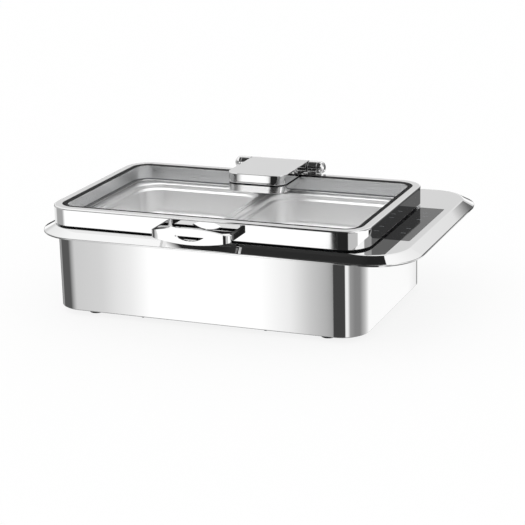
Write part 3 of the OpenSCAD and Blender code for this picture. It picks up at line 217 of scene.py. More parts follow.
class Skin:
    """A closed surface made of swept profiles and flat fills, with its exact normals."""

    def __init__(self):
        self.points, self.faces, self.normals = [], [], []

    def sweep(self, outline, corners, closed=False, steps=8):
        """Carries a profile of corners (distance outward, height, radius) round an outline. Returns its end rings."""
        profile, stretches = rounded(corners, closed, steps)
        first, rows = len(self.points), len(profile)
        for place, out in outline:
            self.points += [Vector((*(place + out * p.x), p.y)) for p in profile]
        around = len(outline)
        for i in range(around):
            j = (i + 1) % around
            for k, (na, nb) in enumerate(stretches):
                m = (k + 1) % rows
                ids = [first + i * rows + k, first + j * rows + k, first + j * rows + m, first + i * rows + m]
                spots = [self.points[a] for a in ids]
                ends = [(outline[i][1], na), (outline[j][1], na), (outline[j][1], nb), (outline[i][1], nb)]
                keep = [q for q in range(4) if (spots[q] - spots[q - 1]).length > SAME_PLACE]
                if len(keep) < 3:
                    continue
                self.faces.append([ids[q] for q in keep])
                self.normals.append([Vector((*(ends[q][0] * ends[q][1].x), ends[q][1].y)).normalized() for q in keep])
        return [[first + i * rows + k for i in range(around)] for k in (0, rows - 1)]

    def ring(self, outline, height):
        """A ring of new points at one height, for fills and walls."""
        first = len(self.points)
        self.points += [Vector((*place, height)) for place, _ in outline]
        return list(range(first, first + len(outline)))

    def fill(self, rings, up=True):
        """Flat fill inside the first ring and outside the others."""
        ids = [a for ring in rings for a in ring]
        n = Vector((0, 0, 1 if up else -1))
        for tri in tessellate_polygon([[self.points[a] for a in ring] for ring in rings]):
            a, b, c = (ids[t] for t in tri)
            facing = (self.points[b] - self.points[a]).cross(self.points[c] - self.points[a])
            if facing.length < 1e-12:
                continue
            self.faces.append([a, b, c] if facing.dot(n) > 0 else [a, c, b])
            self.normals.append([n] * 3)

    def wall(self, low, high, outline):
        """Upright wall between two rings of one outline, facing in."""
        for i in range(len(low)):
            j = (i + 1) % len(low)
            if (self.points[low[i]] - self.points[low[j]]).length < SAME_PLACE:
                continue
            self.faces.append([high[i], high[j], low[j], low[i]])
            self.normals.append([Vector((*-outline[a][1], 0)) for a in (i, j, j, i)])

    def opening(self, outline, low, high):
        """Hole through a sheet: its wall, and its rings at the sheet's lower and upper side."""
        rings = self.ring(outline, low), self.ring(outline, high)
        self.wall(*rings, outline)
        return rings

    def sheet(self, lower, upper):
        """Fills the lower and the upper side of a sheet, each from its rings."""
        self.fill(lower, False)
        self.fill(upper, True)

    def capped(self, outline, corners, steps=8):
        """Sweeps an open profile and fills its first end from below and its last from above."""
        under, over = self.sweep(outline, corners, steps=steps)
        self.sheet([under], [over])
        return self

    def slab(self, outline, low, high, edge, lower_edge=None):
        """Flat plate with rounded rims."""
        under = edge if lower_edge is None else lower_edge
        return self.capped(
            outline, [(-under * 1.001, low, 0), (0, low, under), (0, high, edge), (-edge * 1.001, high, 0)], 4
        )

    def moved(self, matrix):
        """Moves, turns or mirrors the surface."""
        turn = matrix.to_3x3()
        self.points = [matrix @ p for p in self.points]
        self.normals = [[(turn @ n).normalized() for n in face] for face in self.normals]
        if turn.determinant() < 0:
            self.faces = [face[::-1] for face in self.faces]
            self.normals = [face[::-1] for face in self.normals]
        return self

    def leaned(self, share, front, back, low):
        """Leans the front back by a share of the height above low, and what lies behind it less and less."""
        deep = back - front
        for face, ns in zip(self.faces, self.normals):
            for k, a in enumerate(face):
                p, n = self.points[a], ns[k]
                stretch = 1 - share * (p.z - low) / deep
                slope = share * (back - p.y) / deep
                ns[k] = Vector((n.x, n.y / stretch, n.z - slope / stretch * n.y)).normalized()
        for p in self.points:
            p.y += share * (p.z - low) * (back - p.y) / deep
        return self

    def add(self, other):
        """Takes in another surface."""
        shift = len(self.points)
        self.points += other.points
        self.faces += [[a + shift for a in face] for face in other.faces]
        self.normals += other.normals
        return self

    def mesh(self, name):
        """Smooth mesh of the points that faces use."""
        used = sorted({a for face in self.faces for a in face})
        at = {a: i for i, a in enumerate(used)}
        made = bpy.data.meshes.new(name)
        made.from_pydata([self.points[a][:] for a in used], [], [[at[a] for a in face] for face in self.faces])
        made.update()
        made.shade_smooth()
        return made

    def made(self, name, material, body, nodes=(), slot=None):
        """The finished piece: smooth, with its own normals, riding on its body."""
        mesh = self.mesh(name)
        mesh.normals_split_custom_set([n[:] for face in self.normals for n in face])
        mesh.materials.append(material)
        return settle(bpy.data.objects.new(name, mesh), body, nodes)


def settle(piece, body, nodes=()):
    """Links a piece, lets it ride on its body and stand for its nodes."""
    if piece.name not in bpy.context.scene.objects:
        bpy.context.scene.collection.objects.link(piece)
    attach(piece, body)
    if nodes:
        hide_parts(*nodes)
    return piece


def across(x=0.0, y=0.0, z=0.0):
    """Turns a shape drawn in x, y with its height along z so that it stands in Y, Z with its height along X."""
    return Matrix(((0, 0, 1, x), (1, 0, 0, y), (0, 1, 0, z), (0, 0, 0, 1)))


def middle(name):
    """Centre of a node's box."""
    low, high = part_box(name)
    return (low + high) / 2


def round_box(name, corner, grow=0.0, steps=20):
    """Outline of a rounded rectangle round a node's box, larger than it by grow on each side."""
    low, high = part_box(name)
    size, mid = high - low, (low + high) / 2
    return round_rect(size.x + 2 * grow, size.y + 2 * grow, corner, mid.x, mid.y, steps)


def recess(grow, corner):
    """Outline of the deck's recess, which both pans hang in, made larger by grow on each side."""
    s, centre = sizes(), middle("lid_frame")
    low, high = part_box("food_pan_left")
    length, width = 2 * (centre.x - low.x) + s.seat_play, high.y - low.y + s.seat_play
    return round_rect(length + 2 * grow, width + 2 * grow, corner, centre.x, centre.y)


# Shader nodes


def node(tree, kind, settings=None, links=None):
    """Adds a node with its settings and the links into its inputs."""
    made = tree.nodes.new(kind)
    for key, value in (settings or {}).items():
        if isinstance(key, int) or key in made.inputs.keys() and not hasattr(made, str(key)):
            made.inputs[key].default_value = value
        else:
            setattr(made, key, value)
    for key, source in (links or {}).items():
        tree.links.new(source, made.inputs[key])
    return made


def math_node(tree, operation, first, second=None):
    """A Math node on one or two sources, of which the second may be a number."""
    made = node(tree, "ShaderNodeMath", {"operation": operation}, {0: first})
    if isinstance(second, (int, float)):
        made.inputs[1].default_value = second
    elif second is not None:
        tree.links.new(second, made.inputs[1])
    return made.outputs[0]


def blend(tree, factor, first, second):
    """Mix of two colours or levels by a factor from a socket."""
    made = node(tree, "ShaderNodeMix", {"data_type": "RGBA"}, {0: factor})
    for socket, source in zip((made.inputs[6], made.inputs[7]), (first, second)):
        if isinstance(source, (int, float)):
            socket.default_value = (source, source, source, 1)
        elif isinstance(source, tuple):
            socket.default_value = source
        else:
            tree.links.new(source, socket)
    return made.outputs[2]


def spread(tree, source, low, high, to_low=0.0, to_high=1.0):
    """A value moved from one range into another, and kept inside it."""
    ends = {"From Min": low, "From Max": high, "To Min": to_low, "To Max": to_high}
    return node(tree, "ShaderNodeMapRange", ends, {"Value": source}).outputs["Result"]


def between(tree, source, low, high, soft):
    """1 where the source lies between low and high, 0 elsewhere, with soft edges."""
    rise = spread(tree, source, low - soft, low + soft)
    return math_node(tree, "MULTIPLY", rise, spread(tree, source, high + soft, high - soft))


def overlap(tree, *bounds):
    """1 where every bound (source, low, high, soft) holds, 0 elsewhere."""
    inside = between(tree, *bounds[0])
    for bound in bounds[1:]:
        inside = math_node(tree, "MULTIPLY", inside, between(tree, *bound))
    return inside


def ramp(tree, source, low, high, stops):
    """Level at a value between low and high, from stops (value, level)."""
    made = node(tree, "ShaderNodeValToRGB", {}, {"Fac": spread(tree, source, low, high)})
    elements = made.color_ramp.elements
    for i, (value, level) in enumerate(stops):
        at = (value - low) / (high - low)
        stop = elements[i] if i < 2 else elements.new(at)
        stop.position, stop.color = at, (level, level, level, 1)
    return made.outputs["Color"]


def noise(tree, scale, detail):
    """Noise in the object's own coordinates, with a scale in 1/m for each axis."""
    place = node(tree, "ShaderNodeTexCoord").outputs["Object"]
    stretched = node(tree, "ShaderNodeMapping", {"Scale": scale}, {"Vector": place}).outputs["Vector"]
    return node(tree, "ShaderNodeTexNoise", {"Scale": 1.0, "Detail": detail}, {"Vector": stretched}).outputs["Fac"]


def by_noise(tree, source, low, high):
    """Two values, between which a noise pattern moves. Most of the noise lies between 0.3 and 0.7."""
    return spread(tree, source, 0.3, 0.7, low, high)


# Materials


def finish(name, **settings):
    """A material whose shader sockets hold the constant values."""
    made = bpy.data.materials.new(name)
    made.use_nodes = True
    tree = made.node_tree
    shader = tree.nodes["Principled BSDF"]
    for key, value in settings.items():
        shader.inputs[key.replace("_", " ")].default_value = value
    return made, tree, shader


def surface(tree, share, first, second):
    """Shows a mix of two shaders."""
    mixed = node(tree, "ShaderNodeMixShader", {}, {0: share, 1: first.outputs[0], 2: second.outputs[0]})
    tree.links.new(mixed.outputs[0], tree.nodes["Material Output"].inputs["Surface"])


def bump(tree, shader, height, strength, distance):
    """Lets a pattern raise the surface."""
    made = node(tree, "ShaderNodeBump", {"Strength": strength, "Distance": distance}, {"Height": height})
    tree.links.new(made.outputs["Normal"], shader.inputs["Normal"])


def grained(name, colour, scale, detail, low, high, relief=None, **settings):
    """A finish of one colour, with a noise that moves its roughness between two values and may raise it."""
    made, tree, shader = finish(name, Base_Color=linear(colour), **settings)
    pattern = noise(tree, scale, detail)
    tree.links.new(by_noise(tree, pattern, low, high), shader.inputs["Roughness"])
    if relief:
        bump(tree, shader, pattern, *relief)
    return made


def speckled(name, first, second, size, roughness, metallic=0.0, grain=0.0):
    """A moulded, cast or pressed finish that varies between two near colours at a real size in metres."""
    made, tree, shader = finish(name, Metallic=metallic)
    pattern = noise(tree, (1 / size,) * 3, 4.0)
    tree.links.new(blend(tree, pattern, linear(first), linear(second)), shader.inputs["Base Color"])
    rough = by_noise(tree, pattern, roughness * 0.85, min(1.0, roughness * 1.15))
    tree.links.new(rough, shader.inputs["Roughness"])
    if grain:
        bump(tree, shader, pattern, 0.3, grain)
    return made


def polished_stainless():
    """Stainless sheet, mirror polished: a clear mirror with the faintest haze where the buffing wheel went."""
    return grained("mirror_polished_stainless", colours().steel, (9, 9, 14), 3.0, 0.008, 0.03, Metallic=1.0)


def drawn_satin_stainless():
    """Deep drawn stainless with a satin polish: soft reflections with faint upright streaks from the draw."""
    return grained("satin_stainless", colours().satin, (40, 40, 4), 4.0, 0.36, 0.48, Metallic=1.0)


def brushed_stainless():
    """Brushed stainless of hidden plates and brackets: fine straight lines along X."""
    relief = (0.05, 0.0002)
    return grained("brushed_stainless", "#D4D5D6", (12, 900, 900), 5.0, 0.24, 0.42, relief, Metallic=1.0)


def turned_stainless():
    """Turned stainless of screws and pins: bright, with a little wear."""
    return grained("turned_stainless", "#C9CBCD", (300, 300, 300), 4.0, 0.14, 0.3, Metallic=1.0)


def black_printed_glass():
    """Glass with black ceramic print behind it: deep black under a hard gloss."""
    return grained("black_printed_glass", colours().black_glass, (40, 40, 40), 5.0, 0.03, 0.09, IOR=1.52)


def silicone_rubber():
    """Moulded black silicone: matt, with a fine dusty grain."""
    soft = {"IOR": 1.43, "Specular_IOR_Level": 0.2}
    return grained("black_silicone_rubber", colours().rubber, (900, 900, 900), 4.0, 0.45, 0.7, (0.15, 0.0002), **soft)


def tempered_glass():
    """Clear tempered glass: it bends the light like soda lime glass and keeps a thin, slightly wiped mirror on top."""
    made, tree, shader = finish("tempered_glass")
    tree.nodes.remove(shader)
    wiped = by_noise(tree, noise(tree, (14, 30, 14), 3.0), 0.0, 0.02)
    clear = node(tree, "ShaderNodeBsdfRefraction", {"Color": linear(colours().glass), "Roughness": 0.0, "IOR": 1.52})
    gloss = node(tree, "ShaderNodeBsdfAnisotropic", {"Color": (1, 1, 1, 1)}, {"Roughness": wiped})
    fresnel = node(tree, "ShaderNodeFresnel", {"IOR": 1.52})
    # coated against reflections, so it mirrors a fifth of what bare glass does
    surface(tree, math_node(tree, "MULTIPLY", fresnel.outputs[0], 0.2), clear, gloss)
    return made


def lid_seal_rubber():
    """Black silicone seal whose side towards the food is painted grey: painted light, where that side lies in shade."""
    made, tree, shader = finish("two_tone_silicone", IOR=1.43, Specular_IOR_Level=0.2)
    tree.links.new(by_noise(tree, noise(tree, (900, 900, 900), 4.0), 0.45, 0.7), shader.inputs["Roughness"])
    place = node(tree, "ShaderNodeTexCoord")
    kind, centre = "ShaderNodeVectorMath", middle("lid_seal")
    out = node(tree, kind, {"operation": "SUBTRACT", 1: centre}, {0: place.outputs["Object"]})
    facing = node(tree, kind, {"operation": "DOT_PRODUCT"}, {0: out.outputs[0], 1: place.outputs["Normal"]})
    # the side that faces the seal's middle, towards the food, gets a grey base colour: painted light, standing in for
    # light on that side, which lies in shade; the outside keeps the rubber's black
    inside = math_node(tree, "LESS_THAN", facing.outputs["Value"], -0.02)
    tree.links.new(blend(tree, inside, linear(colours().rubber), linear("#9A9C9E")), shader.inputs["Base Color"])
    return made


def key_mark_ink():
    """Pale ceramic ink of the key marks, printed under the panel's gloss."""
    made, tree, shader = finish("pale_ceramic_ink", IOR=1.5, Roughness=0.25)
    speck = noise(tree, (1500, 1500, 1500), 2.0)
    tree.links.new(blend(tree, speck, linear(colours().icon), linear("#6A6C70")), shader.inputs["Base Color"])
    return made


def floor_finish():
    """Pale paper floor: white to the camera apart from the object's soft shadow."""
    made, tree, shader = finish("pale_floor", Base_Color=linear("#FFFFFF"), Roughness=0.9)
    path = node(tree, "ShaderNodeLightPath")
    glow = node(tree, "ShaderNodeEmission", {"Color": (1, 1, 1, 1), "Strength": 1.0})
    # to the camera most of the floor is its own white light, so that only a soft part of the shadow stays
    surface(tree, math_node(tree, "MULTIPLY", path.outputs["Is Camera Ray"], 0.85), shader, glow)
    return made


RECIPES = {
    "polished": polished_stainless,
    "satin": drawn_satin_stainless,
    "brushed": brushed_stainless,
    "turned": turned_stainless,
    "glass": tempered_glass,
    "black_glass": black_printed_glass,
    "rubber": silicone_rubber,
    "seal": lid_seal_rubber,
    "ink": key_mark_ink,
}
# what speckled takes for the other finishes
SPECKLED = {
    "brass": ("turned_brass", "#C8A553", "#B8934A", 0.004, 0.3, 1.0),
    "aluminium": ("rolled_aluminium", "#C6C8CB", "#B4B7BA", 0.006, 0.38, 1.0),
    "sheath": ("oxidised_element_sheath", "#5A5450", "#3F3B39", 0.003, 0.55, 1.0),
    "wool": ("felted_mineral_wool", "#C9BB93", "#AE9F7A", 0.002, 0.95, 0.0, 0.0006),
    "nylon": ("natural_nylon", "#DCD8CB", "#CFCABC", 0.003, 0.5),
    "plastic": ("textured_black_plastic", "#1B1C1E", "#141517", 0.0008, 0.5, 0.0, 0.0001),
    "board": ("green_solder_mask", "#1E5B3C", "#184A31", 0.004, 0.3),
    "relay": ("moulded_component_plastic", "#27506B", "#214559", 0.003, 0.4),
    "winding": ("taped_winding", "#B98A2F", "#A87B26", 0.002, 0.45),
    "lead": ("silicone_lead_insulation", "#C9C8C2", "#B9B7AF", 0.003, 0.6),
}
FINISHES = {}


def coat(name):
    """The finish of that name, made once."""
    if name not in FINISHES:
        FINISHES[name] = speckled(*SPECKLED[name]) if name in SPECKLED else RECIPES[name]()
    return FINISHES[name]


KEPT_NODES = {
    "brushed": "bottom_cover heat_shield element_straps hinge_backing_plate lid_liner probe_clip",
    "turned": "cover_screws foot_screws strap_nuts temperature_probe board_screws inlet_screws control_box_nuts "
    "hinge_pin clamp_screws handle_screws",
    "glass": "lid_glass",
    "black_glass": "panel_glass",
    "rubber": "glass_gasket clamp_pads cable_grommet panel_cable touch_foam",
    "seal": "lid_seal",
    "brass": "board_standoffs inlet_pins earth_stud hinge_bushings",
    "aluminium": "heat_spreader",
    "sheath": "heating_element",
    "wool": "insulation_pad",
    "nylon": "glass_bushings",
    "plastic": "mains_inlet control_box thermal_cutout hinge_damper hinge_washers",
    "board": "power_board touch_board",
    "relay": "board_relay board_terminals",
    "winding": "board_transformer",
    "lead": "mains_leads heater_leads sensor_leads",
}


class DISH_OT_coat_nodes(bpy.types.Operator):
    """Gives each solid that keeps its shape its finish"""

    bl_idname = "dish.coat_nodes"
    bl_label = "Coat the kept solids"

    def execute(self, context):
        for name, members in KEPT_NODES.items():
            for member in members.split():
                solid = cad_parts[member]
                solid.data.materials.clear()
                solid.data.materials.append(coat(name))
        return {"FINISHED"}


class DISH_OT_housing(bpy.types.Operator):
    """Housing wall with its flanges, mirror polished"""

    bl_idname = "dish.housing"
    bl_label = "Housing"

    def execute(self, context):
        s = sizes()
        low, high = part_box("housing_shell")
        x, y = (low.x + high.x) / 2, middle("lid_frame").y
        t, inset = s.body_sheet, 1 * MM
        skin = Skin()
        under, over = skin.sweep(
            round_rect(high.x - low.x, 2 * (y - low.y), s.body_corner, x, y, 28),
            [
                (-t - inset, high.z - t, 0), (-t, high.z - t, 0), (-t, low.z + t, 0),
                (-t - s.bottom_flange, low.z + t, 0), (-t - s.bottom_flange, low.z, 0), (0, low.z, 0.8 * MM),
                (0, high.z, 0.6 * MM), (-t - inset, high.z, 0),
            ],
        )
        clear = s.deck_sheet + s.flange_gap
        opening_low, opening_high = skin.opening(recess(clear, s.recess_corner + clear), high.z - t, high.z)
        skin.sheet([under, opening_low], [over, opening_high])
        skin.made("housing_wall", coat("polished"), "base", ["housing_shell"], "polished_steel")
        return {"FINISHED"}


class DISH_OT_deck(bpy.types.Operator):
    """Deck of one drawn sheet: flat, skirt, hem and the recess of the pans"""

    bl_idname = "dish.deck"
    bl_label = "Deck"

    def execute(self, context):
        s = sizes()
        low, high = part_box("deck_tray")
        top, t, wide = high.z, s.deck_sheet, s.skirt_width
        fall = s.skirt_drop * (wide - t) / wide
        inset = -1.4 * s.crease
        skin = Skin()
        under, over = skin.sweep(
            round_box("deck_tray", s.deck_corner, -wide, 32),
            [
                (inset, top - t, 0), (0, top - t, s.crease), (wide - t, top - fall - t, 0.8 * MM),
                (wide - t, low.z, 0.3 * MM), (wide, low.z, 0.5 * MM), (wide, top - s.skirt_drop, 1.6 * MM),
                (0, top, s.crease + t), (inset, top, 0),
            ],
        )
        edge, seat, inner = 2.5 * MM, top - s.seat_drop, recess(0, s.recess_corner)
        outer_top, outer_low = skin.sweep(inner, [(edge, top, 0), (0, top, 1.2 * MM), (0, seat, 0)])
        inner_low, inner_top = skin.sweep(inner, [(t, seat - t, 0), (t, top - t, 0), (edge, top - t, 0)])
        # the ledge in the recess is a flat plate with an opening whose corners are those of the well
        mouth_low, mouth_high = skin.opening(recess(-s.seat_ledge, s.well_corner), seat - t, seat)
        skin.sheet([inner_low, mouth_low], [outer_low, mouth_high])
        hole = round_box("panel_glass", s.panel_corner, s.panel_gap, 8)
        hole_low, hole_high = skin.opening(hole, top - t, top)
        skin.sheet([under, inner_top, hole_low], [over, outer_top, hole_high])
        skin.made("deck_sheet", coat("polished"), "base", ["deck_tray"], "polished_steel")
        return {"FINISHED"}


class DISH_OT_well(bpy.types.Operator):
    """Water well under the pans"""

    bl_idname = "dish.well"
    bl_label = "Water well"

    def execute(self, context):
        s = sizes()
        low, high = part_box("water_well")
        wide, t, r = s.well_flange, s.well_sheet, s.well_floor_edge
        skin = Skin().capped(
            round_box("water_well", s.well_corner, -wide),
            [
                (-r * ROOM, low.z, 0), (t, low.z, r + t), (t, high.z - t, 0), (wide, high.z - t, 0),
                (wide, high.z, 0), (0, high.z, 0.8 * MM), (0, low.z + t, r), (-r * ROOM, low.z + t, 0),
            ],
        )
        skin.made("water_well_bowl", coat("satin"), "base", ["water_well"], "satin_steel")
        return {"FINISHED"}


class DISH_OT_food_pans(bpy.types.Operator):
    """Two half size food pans with a hemmed rim, a stacking shoulder and sloping walls"""

    bl_idname = "dish.food_pans"
    bl_label = "Food pans"

    def execute(self, context):
        s = sizes()
        for body in ("food_pan_left", "food_pan_right"):
            low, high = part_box(body)
            t, top = s.pan_sheet, high.z
            mouth = round_box(body, s.pan_corner, -s.pan_rim, 24)
            lip, r, wide, bend = s.pan_lip, s.pan_floor_edge, s.shoulder_width, s.shoulder_bend
            lean, rim_in = wide + s.pan_lean, -1.6 * MM
            ledge, step = top - s.shoulder_drop, top - s.shoulder_drop - wide
            skin = Skin()
            under, over = skin.sweep(
                mouth,
                [
                    (-lean - r * ROOM, low.z, 0), (-lean + t, low.z, r + t), (t - wide, step, bend),
                    (t, ledge, bend), (t, top - t, lip - t), (lip * 1.05, top - t, 0),
                ],
            )
            floor, edge = skin.sweep(
                mouth,
                [
                    (lip * 1.05, top, 0), (0, top, lip), (0, ledge, bend), (-wide, step, bend),
                    (-lean, low.z + t, r), (-lean - r * ROOM, low.z + t, 0),
                ],
            )
            skin.sheet([under], [edge])
            inner, outer = skin.sweep(
                round_box(body, s.rim_corner, 0, 24),
                [
                    (rim_in, top - t, 0), (-t, top - t, 0.2 * MM), (-t, top - s.pan_hem, 0.1 * MM),
                    (0, top - s.pan_hem, 0.4 * MM), (0, top, 1.2 * MM), (rim_in, top, 0),
                ],
            )
            skin.sheet([inner, over], [outer, floor])
            skin.made(body + "_bowl", coat("satin"), body, [body], "satin_steel")
        return {"FINISHED"}


class DISH_OT_lid_frame(bpy.types.Operator):
    """Lid frame with its rounded top edge, ledge and the rebate of the glass"""

    bl_idname = "dish.lid_frame"
    bl_label = "Lid frame"

    def execute(self, context):
        s = sizes()
        low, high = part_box("lid_frame")
        t, top, ledge = s.lid_sheet, high.z, s.lid_ledge
        seat = top - s.glass - s.gasket
        skin = Skin()
        skin.sweep(
            round_box("lid_frame", s.lid_corner, 0, 28),
            [
                (0, low.z, 0.4 * MM), (0, top, s.lid_edge), (-ledge, top, 0.4 * MM), (-ledge, seat, 0),
                (-ledge - s.glass_seat, seat, 0.3 * MM), (-ledge - s.glass_seat, seat - t, 0.3 * MM),
                (-ledge + t, seat - t, 0), (-ledge + t, top - t, 0), (-t, top - t, s.lid_edge - t),
                (-t, low.z, 0.3 * MM),
            ],
            closed=True,
        )
        skin.made("lid_rim", coat("polished"), "lid", ["lid_frame"], "polished_steel")
        return {"FINISHED"}


class DISH_OT_hinge(bpy.types.Operator):
    """Hinge block, clamp plate, cheeks, foot plate and end caps"""

    bl_idname = "dish.hinge"
    bl_label = "Hinge"

    def execute(self, context):
        s = sizes()
        low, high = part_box("hinge_block")
        clamp_low, clamp_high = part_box("hinge_clamp")
        base_low, base_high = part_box("hinge_base")
        pad_top, cap_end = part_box("clamp_pads")[1].z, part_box("hinge_end_caps")[1].x
        r, c, e = s.barrel, s.block_corner, s.edge
        axis_y, axis_z = high.y - r, high.z - r

        def plan(front, back):
            corners = ((high.x, front, c), (high.x, back, e * 1.5), (low.x, back, e * 1.5), (low.x, front, c))
            return polygon_outline(corners, 20)

        block = Skin().slab(plan(low.y, axis_y), pad_top, high.z, 1.0 * MM, 0.5 * MM)
        block.leaned(math.tan(s.block_lean), low.y, axis_y, pad_top)
        inner, long = r - 1.0 * MM, high.x - low.x
        barrel = Skin().capped(circle_outline(72), [(inner, 0, 0), (r, 0, e), (r, long, e), (inner, long, 0)], 3)
        block.add(barrel.moved(across(low.x, axis_y, axis_z)))
        block.made("hinge_block_bar", coat("polished"), "lid", ["hinge_block"], "polished_steel")

        clamp = Skin().slab(plan(clamp_low.y, clamp_high.y), clamp_low.z, clamp_high.z, 0.5 * MM)
        clamp.leaned(math.tan(s.clamp_lean), clamp_low.y, clamp_high.y, clamp_low.z)
        clamp.made("hinge_clamp_plate", coat("polished"), "lid", ["hinge_clamp"], "polished_steel")

        # fixed side: foot plate, two cheeks, caps
        foot_top = base_low.z + s.foot_plate
        base = Skin().slab(round_box("hinge_base", 6 * MM, 0, 8), base_low.z, foot_top, 0.8 * MM, 0.2 * MM)
        side = [(Vector((axis_y, axis_z)) + n * r, n) for n in (spoke(k / 96) for k in range(49))]
        side += [(Vector((axis_y + out * r, foot_top)), Vector((out, 0))) for out in (-1, 1)]
        for a, b in ((base_low.x, low.x - s.cheek_gap), (high.x + s.cheek_gap, base_high.x)):
            base.add(Skin().capped(side, [(-e, a, 0), (0, a, e), (0, b, e), (-e, b, 0)], 3).moved(across()))
        base.made("hinge_stand", coat("polished"), "base", ["hinge_base"], "polished_steel")

        caps = Skin()
        length = cap_end - base_high.x
        for start, turn in ((base_high.x, across()), (base_low.x, Matrix.Scale(-1, 4, (1, 0, 0)) @ across())):
            cap = Skin().capped(
                circle_outline(72),
                [(r - e, 0, 0), (r, 0, 0.3 * MM), (r, length, s.cap_round), (r - s.cap_round * ROOM, length, 0)],
                12,
            )
            caps.add(cap.moved(Matrix.Translation((start, axis_y, axis_z)) @ turn))
        caps.made("hinge_caps", coat("polished"), "base", ["hinge_end_caps"], "polished_steel")
        return {"FINISHED"}


class DISH_OT_handle(bpy.types.Operator):
    """Handle: a lens shaped plate with a lens shaped hole, turned back at both ends"""

    bl_idname = "dish.handle"
    bl_label = "Handle"

    def execute(self, context):
        s = sizes()
        low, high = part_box("handle")
        x, z = (low.x + high.x) / 2, (low.z + high.z) / 2
        half, reach, t = (high.x - low.x) / 2, high.y - low.y, s.handle_sheet
        tall, bend = (high.z - low.z) / 2, s.handle_bend
        rise = tall - s.handle_end / 2
        big = (half * half + rise * rise) / (2 * rise)
        hole_w, hole_h = s.grip_hole_width / 2, s.grip_hole_height / 2
        small = (hole_w * hole_w + hole_h * hole_h) / (2 * hole_h)

        def height(px):
            return tall - big + math.sqrt(big * big - px * px)

        def hole(px):
            if abs(px) >= hole_w:
                return 0.0
            return max(0.0, hole_h - small + math.sqrt(max(0.0, small * small - px * px)))

        # places along the strip: its outer point, its outward direction
        def corner(px, start):
            ways = [spoke(start + k / 48) for k in range(13)]
            return [(Vector((px, bend - reach)) + n * bend, n) for n in ways]

        flat = half - bend
        stops = {round(-flat + 2 * flat * k / 24, 6) for k in range(1, 24)}
        stops |= {round(hole_w * math.sin(math.pi / 2 * k / 40), 6) for k in range(-40, 41)}
        path = [(Vector((-half, 0)), Vector((-1, 0)))] + corner(-flat, 0.5)
        path += [(Vector((px, -reach)), Vector((0, -1))) for px in sorted(stops) if abs(px) < flat - 1e-5]
        path += corner(flat, -0.25) + [(Vector((half, 0)), Vector((1, 0)))]

        made = bmesh.new()

        def column(q):
            """Vertices at one place of the strip, from its top to its foot. The middle two are the hole's rims."""
            h, g = height(q.x), hole(q.x)
            ups = (h, g, -g, -h) if g > 1e-6 else (h, 0.0, -h)
            spots = [made.verts.new((x + q.x, high.y + q.y, z + up)) for up in ups]
            return spots if len(spots) == 4 else [spots[0], spots[1], spots[1], spots[2]]

        rows = [[column(p), column(p - n * t)] for p, n in path]

        def face(*verts):
            unique = list(dict.fromkeys(verts))
            if len(unique) > 2:
                made.faces.new(unique)

        for (ao, ai), (bo, bi) in zip(rows, rows[1:]):
            for k in (0, 2):
                face(ao[k], ao[k + 1], bo[k + 1], bo[k])
            for k in (0, 2):
                face(bi[k], bi[k + 1], ai[k + 1], ai[k])
            face(ai[0], ao[0], bo[0], bi[0])
            face(bi[3], bo[3], ao[3], ai[3])
            if ao[1] is not ao[2] or bo[1] is not bo[2]:
                face(ao[1], ai[1], bi[1], bo[1])
                face(bo[2], bi[2], ai[2], ao[2])
        for o, i in (rows[0], rows[-1]):
            face(o[0], o[1], o[3], i[3], i[1], i[0])
        bmesh.ops.recalc_face_normals(made, faces=made.faces)
        mesh = bpy.data.meshes.new("handle_grip")
        made.to_mesh(mesh)
        made.free()
        sharp = math.radians(35)
        mesh.shade_smooth()
        mesh.set_sharp_from_angle(angle=sharp)
        grip = bpy.data.objects.new("handle_grip", mesh)
        bpy.context.scene.collection.objects.link(grip)
        round_off = grip.modifiers.new("broken edges", "BEVEL")
        round_off.width, round_off.segments, round_off.limit_method = s.handle_edge, 4, "ANGLE"
        round_off.angle_limit, round_off.harden_normals = sharp, True
        plain(grip, coat("polished"))
        settle(grip, "lid", ["handle"])
        return {"FINISHED"}


def plain(piece, material):
    """Replaces a piece's mesh by what its modifiers make of it, with one material."""
    graph = bpy.context.evaluated_depsgraph_get()
    made = bpy.data.meshes.new_from_object(piece.evaluated_get(graph), preserve_all_data_layers=True, depsgraph=graph)
    piece.modifiers.clear()
    old, piece.data = piece.data, made
    bpy.data.meshes.remove(old)
    made.name = piece.name
    made.materials.clear()
    made.materials.append(material)


# Repeated pieces, made with Geometry Nodes


def repeater(name, material):
    """A node tree that sets a shape on every point of its mesh, turned and scaled by its inputs."""
    tree = bpy.data.node_groups.new(name, "GeometryNodeTree")
    tree.is_modifier = True
    for title, way, kind in (
        ("Geometry", "INPUT", "Geometry"), ("Shape", "INPUT", "Object"), ("Turn", "INPUT", "Rotation"),
        ("Scale", "INPUT", "Float"), ("Geometry", "OUTPUT", "Geometry"),
    ):
        tree.interface.new_socket(title, in_out=way, socket_type="NodeSocket" + kind)
    given = node(tree, "NodeGroupInput").outputs
    thing = node(tree, "GeometryNodeObjectInfo", {}, {"Object": given["Shape"]}).outputs["Geometry"]
    links = {"Points": given["Geometry"], "Instance": thing, "Rotation": given["Turn"], "Scale": given["Scale"]}
    sown = node(tree, "GeometryNodeInstanceOnPoints", {}, links)
    real = node(tree, "GeometryNodeRealizeInstances", {}, {"Geometry": sown.outputs["Instances"]})
    dressed = node(tree, "GeometryNodeSetMaterial", {}, {"Geometry": real.outputs["Geometry"]})
    dressed.inputs["Material"].default_value = material
    node(tree, "NodeGroupOutput", {}, {"Geometry": dressed.outputs["Geometry"]})
    return tree


